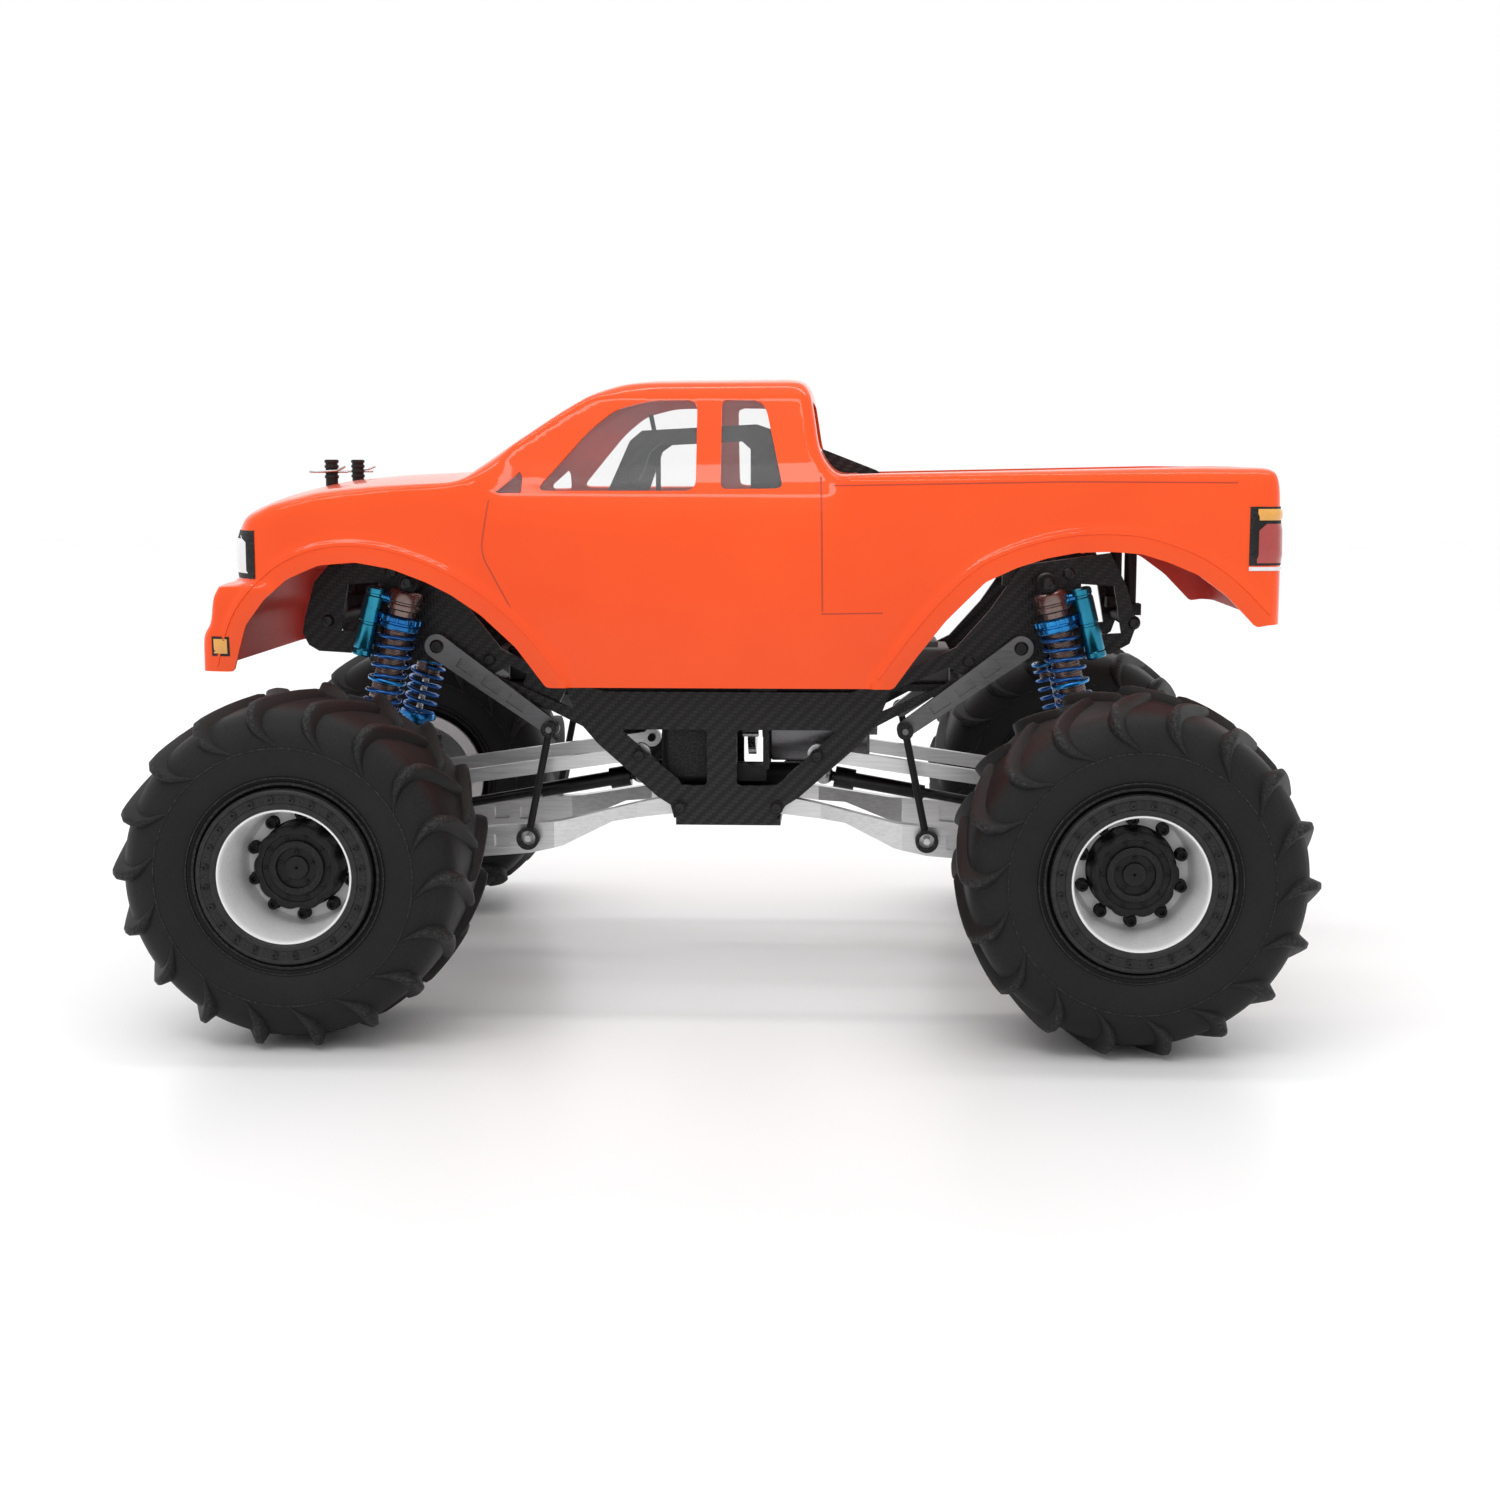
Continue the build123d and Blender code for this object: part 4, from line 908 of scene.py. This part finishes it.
def hardware_shape():
    """Beadlock ring and bolts, hub cover, and the nuts on the wheel disc. Slots: ring, steel, black."""
    shape = Shape()
    face, disc = 42.0, 6.5
    shape.lathe([(29.7, face - 0.6), (29.7, face + 1.0), (30.1, face + 1.5), (31.0, face + 1.9),
                 (32.2, face + 1.9), (32.5, face + 1.5), (36.1, face + 1.5), (36.5, face + 1.9),
                 (37.5, face + 1.9), (38.3, face + 1.4), (38.6, face + 0.7), (38.6, face - 2.2),
                 (37.4, face - 2.2)], 0, False)

    def on_circle(radius, angle, y):
        return (radius * sin(angle), y, radius * cos(angle))
    for k in range(RING_BOLTS):
        centre = on_circle(RING_BOLT_CIRCLE, 2 * pi * (k + 0.5) / RING_BOLTS, face + 1.4)
        shape.turned(centre, (0, 1, 0), [(0, 1.6), (0.4, 1.6), (0.5, 1.25), (1.4, 1.25), (1.6, 1.05),
                                         (1.6, 0.65), (1.0, 0.6)], 12, 2, k * 0.7)
    # scallops between the bolts
    for k in range(RING_BOLTS):
        centre = on_circle(RING_BOLT_CIRCLE, 2 * pi * k / RING_BOLTS, face + 1.2)
        shape.turned(centre, (0, 1, 0), [(0, 1.2), (0.62, 1.2), (0.62, 0.9), (0.35, 0.8)], 10, 0)
    # hub cover: a lobed drum with a stepped, recessed centre
    lobes = 120
    profile = [(20.0, disc - 0.2, 0.0), (20.0, disc + 0.8, 0.2), (19.6, disc + 1.4, 1.0),
               (19.4, disc + 12.5, 1.0), (18.6, disc + 13.6, 1.0), (17.2, disc + 14.0, 0.8),
               (15.6, disc + 14.0, 0.2), (15.2, disc + 13.2, 0),
               (12.4, disc + 12.8, 0), (12.0, disc + 14.4, 0), (9.2, disc + 14.8, 0), (8.8, disc + 12.8, 0),
               (5.4, disc + 12.6, 0), (5.0, disc + 13.9, 0), (0.6, disc + 14.0, 0)]
    rows = []
    for k in range(lobes):
        t = 2 * pi * k / lobes
        wave = -1.3 * (0.5 + 0.5 * cos(10 * t)) ** 2
        rows.append([((r + wave * w) * sin(t), a, (r + wave * w) * cos(t)) for r, a, w in profile])
    shape.grid(rows, 2, wrap_rows=True)
    for k in range(HUB_BOLTS):
        t = 2 * pi * k / HUB_BOLTS
        seat = on_circle(HUB_BOLT_CIRCLE, t, disc - 0.4)
        shape.turned(seat, (0, 1, 0), [(0, 3.0), (0.9, 3.0), (1.0, 2.6), (5.2, 2.6), (5.7, 2.2), (5.7, 1.4),
                                       (3.9, 1.3)], 14, 2, t)
        stud = [(0, 0.95), (1.0, 0.95), (1.2, 0.7), (0.9, 0.5)]
        shape.turned(on_circle(13.9, t + 0.31, disc + 12.6), (0, 1, 0), stud, 10, 2)
    for k in range(5):
        stud = [(0, 0.9), (1.2, 0.9), (1.4, 0.6), (1.1, 0.45)]
        shape.turned(on_circle(7.1, 2 * pi * k / 5, disc + 12.4), (0, 1, 0), stud, 10, 2)
    # stub axle behind the disc
    shape.turned((0, -20, 0), (0, 1, 0), [(0, 4.0), (26, 4.0)], 24, 1)
    return shape


def rim_shape():
    """Deep barrel, dished disc and lip."""
    profile = [(4.1, -2), (10, -2), (10, 2), (31, 2), (31, -43.5), (37, -43.5), (37, -40.5), (33.5, -38.5),
               (33.5, 36.5), (37, 38.5), (37, 41.9), (30.2, 41.9), (29.5, 42.9), (28.9, 42.9), (28.5, 42.2),
               (28.2, 40), (27.4, 26), (26.7, 13), (26.2, 8.6), (25.6, 7.4), (24.9, 6.7), (23.9, 6.5),
               (4.1, 6.5)]
    return Shape().lathe(profile)


def wheels():
    tyre, rim, metal = tyre_shape(), rim_shape(), hardware_shape()
    for end, x in (("front", WHEEL_X), ("rear", -WHEEL_X)):
        for name, side in (("left", 1), ("right", -1)):
            body = "wheel_" + end + "_" + name
            for what, shape, slots in (("tyre", tyre, ["rubber"]), ("rim", rim, ["white"]),
                                       ("wheel_hardware", metal, ["ring", "steel", "black"])):
                verts = [(x + p[0], (TYRE_MIDDLE + p[1]) * side, WHEEL_Z + p[2]) for p in shape.verts]
                faces = shape.faces if side < 0 else [f[::-1] for f in shape.faces]
                piece = make(what + "_" + end + "_" + name + "_detail", verts, faces,
                             [MATERIALS[s] for s in slots], body, 32 if what == "tyre" else 30, shape.slots)
                tidy_normals(piece)
                piece.data.set_sharp_from_angle(angle=radians(36 if what == "tyre" else 30))
                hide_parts(what + "_" + end + "_" + name)


# ---------------------------------------------------------------- suspension
SHOCK_TOP, SHOCK_EYE, SHOCK_Y = (154.0, 198.0), (180.0, 94.0), 55.5
SHOCK_LENGTH = ((SHOCK_EYE[0] - SHOCK_TOP[0]) ** 2 + (SHOCK_EYE[1] - SHOCK_TOP[1]) ** 2) ** 0.5


def on_shock(distance, out=0.0):
    ux, uz = (SHOCK_EYE[0] - SHOCK_TOP[0]) / SHOCK_LENGTH, (SHOCK_EYE[1] - SHOCK_TOP[1]) / SHOCK_LENGTH
    x, z = SHOCK_TOP
    return Vector((x + ux * distance - uz * out, SHOCK_Y, z + uz * distance + ux * out))


def on_both(shape, end):
    """Both sides of the truck, at the front or the rear."""
    if end == "rear":
        shape.verts = [(-x, y, z) for x, y, z in shape.verts]
        shape.faces = [f[::-1] for f in shape.faces]
    return shape.mirrored()


def shocks(end):
    axis = on_shock(1) - on_shock(0)
    origin = on_shock(0)
    body = Shape()      # slots: blue, tube, teal, steel, black
    body.turned(origin, axis, [(4.2, 0.5), (4.2, 6.6), (4.9, 7.7), (5.6, 8.1), (9.6, 8.1), (10.2, 7.5),
                               (10.8, 7.5), (11.4, 8.0), (13.4, 8.0), (14.0, 7.2), (14.2, 6.5),
                               (17.0, 6.5)], 40, 1)
    body.turned(origin, axis, [(16.6, 6.6), (17.4, 9.0), (17.9, 9.6), (19.6, 9.6), (20.1, 9.1), (20.8, 9.1),
                               (21.3, 9.7), (23.0, 9.7), (23.6, 9.2), (24.0, 6.6)], 40, 0, hollow=True)
    for k in range(12):
        t = 2 * pi * k / 12
        spot, side, up = body.frame_of(axis)
        start = origin + spot * 17.6 + (side * cos(t) + up * sin(t)) * 9.35
        body.turned(start, axis, [(0, 0.9), (2.2, 0.9)], 8, 0)
    threads = []
    at = 24.2
    while at < 56.5:
        threads += [(at, 6.35), (at + 0.4, 6.75), (at + 0.7, 6.75), (at + 1.1, 6.35)]
        at += 1.4
    body.turned(origin, axis, [(14, 6.3)] + threads + [(57.2, 6.9), (58.4, 6.9), (58.8, 6.4), (58.8, 2.1),
                               (14, 2.1)], 32, 1, hollow=True)
    tank = on_shock(0, 15.0)
    body.turned(tank, axis, [(5.6, 0.6), (5.6, 3.4), (6.0, 4.4), (6.8, 5.0), (9.0, 5.0), (9.4, 4.6),
                             (10.2, 4.6), (10.8, 5.0), (23.0, 5.0), (23.4, 4.6), (24.4, 4.6),
                             (24.8, 5.0), (36.4, 5.0), (37.0, 4.7), (37.6, 5.05), (39.6, 5.05),
                             (40.4, 4.5), (40.4, 1.6), (39.8, 1.4)], 32, 2)
    arm = on_shock(10, 15.0) - on_shock(10)
    body.turned(on_shock(10), arm, [(5, 3.0), (8.2, 3.0), (8.6, 2.5), (10, 2.5), (13, 3.0)], 20, 0)
    eye = Vector((SHOCK_TOP[0], SHOCK_Y, SHOCK_TOP[1]))
    body.turned(eye - Vector((0, 4.6, 0)), (0, 1, 0), [(0, 2.1), (0, 4.6), (0.6, 5.1), (8.6, 5.1), (9.2, 4.6),
                                                       (9.2, 2.1)], 28, 4)
    piece = on_both(body, end).build(end + "_shock_body_detail",
                                     [MATERIALS[m] for m in ("blue", "tube", "teal", "steel", "black")],
                                     end + "_damper_bodies", 30)
    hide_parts(end + "_shock_bodies")

    shaft = Shape()     # slots: blue, steel, black
    shaft.turned(origin, axis, [(40, 1.2), (40.2, 1.8), (SHOCK_LENGTH - 6, 1.8)], 20, 1)
    shaft.turned(origin, axis, [(77.8, 2.0), (77.8, 8.9), (78.2, 9.5), (79.2, 9.8), (80.6, 9.8), (81.3, 9.3),
                                (81.8, 7.4), (83.6, 6.2), (84.4, 4.4), (84.6, 3.3)], 40, 0)
    shaft.turned(origin, axis, [(84.0, 3.4), (85.5, 3.7), (89, 3.7), (89.6, 3.2), (92, 3.2), (96, 3.9),
                                (SHOCK_LENGTH - 4.2, 3.9)], 24, 2)
    foot = Vector((SHOCK_EYE[0], SHOCK_Y, SHOCK_EYE[1]))
    shaft.turned(foot - Vector((0, 3.6, 0)), (0, 1, 0), [(0, 2.7), (0, 4.8), (0.6, 5.2), (6.6, 5.2),
                                                         (7.2, 4.8), (7.2, 2.7)], 28, 2)
    piece = on_both(shaft, end).build(end + "_shock_shaft_detail",
                                      [MATERIALS[m] for m in ("blue", "steel", "black")],
                                      end + "_damper_shafts", 30)
    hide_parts(end + "_shock_shafts")

    coil = Shape()      # slots: spring, blue
    direction, side, up = coil.frame_of(axis)
    wire, mean = 1.0, 8.4
    for low, high, turns in ((24.9, 47.0, 4.6), (52.0, 77.0, 5.2)):
        path = []
        steps = int(turns * 30)
        for k in range(steps + 1):
            t = k / steps
            flat = np.interp(t * turns, [0, 0.6, turns - 0.6, turns], [0, 0.12, 0.88, 1])
            angle = 2 * pi * turns * t
            centre = origin + direction * (low + (high - low) * (t + flat) / 2)
            path.append(centre + (side * cos(angle) + up * sin(angle)) * mean)
        coil.tube(path, wire, 10, 0)
    coil.turned(origin, axis, [(48.2, 7.1), (48.2, 9.0), (48.7, 9.4), (49.6, 9.4), (50.2, 9.0), (50.2, 7.1),
                               (48.2, 7.1)], 36, 1)
    both = on_both(coil, end)
    spring = both.build(end + "_springs", [MATERIALS["spring"], MATERIALS["blue"]], None, 40)
    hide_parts(end + "_shock_springs")

    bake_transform(spring)


# ---------------------------------------------------------------- bolts and milled pockets
LINK_PIVOTS = ((24.0, 86.0), (44.0, 112.0))
SPACERS = ((198.0, 178.0), (166.0, 202.0), (118.0, 159.0))
SWAY_PIVOT, SWAY_END = (143.0, 166.0), (87.0, 126.0)


def screws(name, places, radius, body, flip):
    """Button heads with a socket, facing out of both sides of the truck."""
    shape = Shape()
    head = [(0, radius), (1.2, radius), (1.9, radius * 0.72), (1.9, radius * 0.46), (0.8, radius * 0.42)]
    for x, y, z in places:
        shape.turned((x * flip, y - 0.3, z), (0, 1, 0), head, 18)
    shape.mirrored()
    return shape.build(name, MATERIALS["bolt"], body, 30)


def bolts_and_pockets():
    for end, flip in (("front", 1), ("rear", -1)):
        screws(end + "_frame_screws", [(x, 40.0, z) for x, z in SPACERS], 2.9, "chassis", flip)
        screws(end + "_link_screws", [(x, 41.5, z) for x, z in LINK_PIVOTS], 2.9, "chassis", flip)
        screws(end + "_shock_screws", [(SHOCK_TOP[0], 62.5, SHOCK_TOP[1])], 3.0, "chassis", flip)
        screws(end + "_sway_screws", [(SWAY_PIVOT[0], 46.5, SWAY_PIVOT[1])], 3.4, end + "_sway_bar", flip)
        # the floor of the pockets milled in the sway arms
        shape = Shape()
        (x0, z0), (x1, z1) = SWAY_PIVOT, SWAY_END
        length = ((x1 - x0) ** 2 + (z1 - z0) ** 2) ** 0.5
        ux, uz = (x1 - x0) / length, (z1 - z0) / length
        outline = [(x0 + ux * t - uz * w, z0 + uz * t + ux * w)
                   for t, w in ((12, 2.9), (54, 2.7), (54, -2.7), (12, -2.9))]
        shape.prism([(x * flip, z) for x, z in outline], "y", 43.0, 45.0)
        shape.mirrored().build(end + "_sway_pockets", MATERIALS["arm"], end + "_sway_bar", 30)
        # the floor of the windows milled in the lower links
        shape = Shape()
        outline = [(106, 65.2), (131, 65.2), (131, 74.2), (106, 74.2)]
        shape.prism([(x * flip, z) for x, z in outline], "y", 42.4, 44.6)
        shape.mirrored().build(end + "_link_pockets", MATERIALS["billet"], end + "_lower_arms", 30)


# ---------------------------------------------------------------- side plates, posts and clips
TRUSS_WINDOWS = ([(54, 124.6), (10.5, 124.6), (10.5, 96.8), (21, 96.8)],
                 [(-4.3, 124.6), (-54, 124.6), (-24, 96.8), (-4.3, 96.8)])
PLATE_REACH = (34.0, 43.0)


def side_plates():
    """The CAD side plates with the two windows of the middle truss opened out."""
    for name, side in (("left", 1), ("right", -1)):
        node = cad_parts["chassis_plate_" + name]
        low, high = sorted(side * y for y in PLATE_REACH)
        cutter = Shape()
        for window in TRUSS_WINDOWS:
            cutter.prism([tuple(p) for p in rounded(window, 2.5)], "y", low, high)
        tool = cutter.build("window_cutter", MATERIALS["carbon"], None)
        copy = bpy.data.objects.new("plate_copy", node.data.copy())
        bpy.context.scene.collection.objects.link(copy)
        mod = copy.modifiers.new("windows", "BOOLEAN")
        mod.operation = "DIFFERENCE"
        mod.object = tool
        bpy.context.view_layer.update()
        cut = copy.evaluated_get(bpy.context.evaluated_depsgraph_get())
        mesh = bpy.data.meshes.new_from_object(cut)
        mesh.materials.clear()
        mesh.materials.append(MATERIALS["carbon"])
        plate = bpy.data.objects.new("side_plate_" + name, mesh)
        bpy.context.scene.collection.objects.link(plate)
        bpy.data.objects.remove(copy)
        bpy.data.objects.remove(tool)
        add_bevel(plate, 0.25, 2, 30)
        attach(plate, "chassis")
        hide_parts("chassis_plate_" + name)


POSTS = ((POST_X, 257.0, 251.0), (-POST_X, 236.0, 228.0))     # X, top and height of the clip
NOTCHES, NOTCH_PITCH, WIRE_RADIUS = 4, 2.5, 0.55


def posts_and_clips():
    """Notched post tops, and a bent wire clip through each."""
    rings, wire = Shape(), Shape()
    notch = [(along, POST_RADIUS + out)
             for along, out in ((0, -0.4), (0, 0.4), (0.2, 0.5), (1.2, 0.5), (1.4, 0.4), (1.4, -0.4))]
    for x, top, level in POSTS:
        for k in range(NOTCHES):
            low = top - 1.6 - NOTCH_PITCH * k
            rings.turned((x, POST_Y, low), (0, 0, 1), notch, 20)
        straight = [(x - 8, POST_Y, level), (x + 8, POST_Y, level)]
        bend = [(x + 8 + 2.2 * sin(a), POST_Y + 2.2 * (1 - cos(a)), level)
                for a in np.linspace(0.4, pi - 0.2, 6)]
        back = [(x + along, POST_Y + out, level + up)
                for along, out, up in ((5, 4.1, 0), (3, 3.9, 0.2), (0, 4.4, 0.4), (-3.4, 3.6, 0.6),
                                       (-6, 4.6, 1.6), (-8, 5.2, 2.6))]
        wire.tube(straight + bend + back, WIRE_RADIUS, 10)
    rings.mirrored().build("body_post_notches", MATERIALS["black"], "chassis", 30)
    clips = wire.mirrored().build("body_clip_wires", MATERIALS["steel"], "chassis", 60)
    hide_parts("body_clips")


# ---------------------------------------------------------------- finishes on the CAD pieces
def finish(names, material, bevel=0.0, segments=2):
    """A material and rounded edges on CAD nodes."""
    for name in names:
        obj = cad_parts[name]
        obj.data.materials.clear()
        obj.data.materials.append(MATERIALS[material])
        if bevel:
            add_bevel(obj, bevel, segments, 30)


ENDS = ("front", "rear")


def plain_nodes():
    finish(["cage_plates", "skid_plate"], "carbon", 0.25)
    finish(["gearbox_case", "battery_tray", "body_posts"], "black", 0.4)
    finish(["speed_controller"], "black_alloy", 0.4)
    finish(["receiver_box"], "receiver", 0.5)
    finish(["battery"], "battery", 0.8, 3)
    finish(["motor"], "motor_can", 0.5)
    finish(["frame_spacers", "antenna"], "black", 0.2)
    finish(["spur_gear", "motor_pinion"], "steel", 0.12, 1)
    for end in ENDS:
        finish([end + "_driveshaft"], "black_alloy", 0.25)
        finish([end + "_drive_ball", end + "_pinion_cup"], "steel", 0.2)
        finish([end + "_axle_housing"], "black_alloy", 0.5)
        finish([end + "_lower_links", end + "_upper_links"], "billet", 0.4)
        finish([end + "_sway_arms"], "arm", 0.4)
        finish([end + "_sway_links"], "black", 0.25)
    finish(["steering_servo"], "black", 0.5)
    finish(["servo_horn"], "blue", 0.25)
    finish(["drag_link", "tie_rod"], "billet", 0.3)
    finish(["steering_knuckle_left", "steering_knuckle_right"], "black_alloy", 0.4)


# ---------------------------------------------------------------- stage
def stage():
    n = Nodes("studio_floor")
    broad = n.noise(3, 3, 0.5)
    away = n.node("VectorMath")
    away.operation = "LENGTH"
    n.link(n.coords, away.inputs[0])
    # the floor is painted a little darker near the truck, with a random tone, and fades to plain white
    # further out: painted shade around the truck
    painted_shade_near = n.ramp(broad, [(0.3, (0.90, 0.90, 0.90)), (0.7, (0.93, 0.93, 0.93))])
    n.set(color=n.mix(n.range(away.outputs["Value"], 0.0, 1.0, 0.45, 1.3), painted_shade_near, (1.0, 1.0, 1.0)),
          rough=n.range(broad, 0.28, 0.38), spec=0.35)
    n.bump(broad, 0.02)
    rows = [[(x * 400, y * 400, 0) for x in range(-15, 16)] for y in range(-15, 10)]
    sheet = Shape().grid(rows)
    floor = make("studio_floor_sheet", sheet.verts, sheet.faces, n.material, None, 80)
    for name, place, size, power, aim in (
            ("key", (0.5, 1.3, 1.7), (1.6, 0.3), 8, (0, 0, 0.15)),
            ("top", (0.0, -0.1, 1.9), (2.2, 0.12), 7, (0, 0, 0.1)),
            ("back", (0.0, -1.5, 1.1), (2.4, 0.8), 4, (0, 0, 0.2))):
        light = bpy.data.lights.new(name, "AREA")
        light.shape = "RECTANGLE"
        light.size, light.size_y = size
        light.energy = power
        lamp = bpy.data.objects.new(name, light)
        lamp.location = place
        lamp.rotation_euler = (Vector(aim) - Vector(place)).to_track_quat("-Z", "Y").to_euler()
        bpy.context.scene.collection.objects.link(lamp)
    world = bpy.data.worlds.new("studio")
    world.use_nodes = True
    world.node_tree.nodes["Background"].inputs["Color"].default_value = (1, 1, 1, 1)
    world.node_tree.nodes["Background"].inputs["Strength"].default_value = 1.0
    bpy.context.scene.world = world
    bpy.context.scene.view_settings.view_transform = "Standard"
    camera = bpy.data.objects.new("camera", bpy.data.cameras.new("camera"))
    camera.location = (-0.0587, 1.1025, 0.2559)
    camera.rotation_euler = (pi / 2 - 0.132, 0, pi + 0.045)
    camera.data.lens = 52.09
    camera.data.sensor_width = 36
    bpy.context.scene.collection.objects.link(camera)
    bpy.context.scene.camera = camera


# ---------------------------------------------------------------- the truck
body_mesh = body_parts()
save_skin(*body_mesh)
body_details()
body_floor()
wheels()
for end in ENDS:
    shocks(end)
side_plates()
posts_and_clips()
bolts_and_pockets()
plain_nodes()
stage()
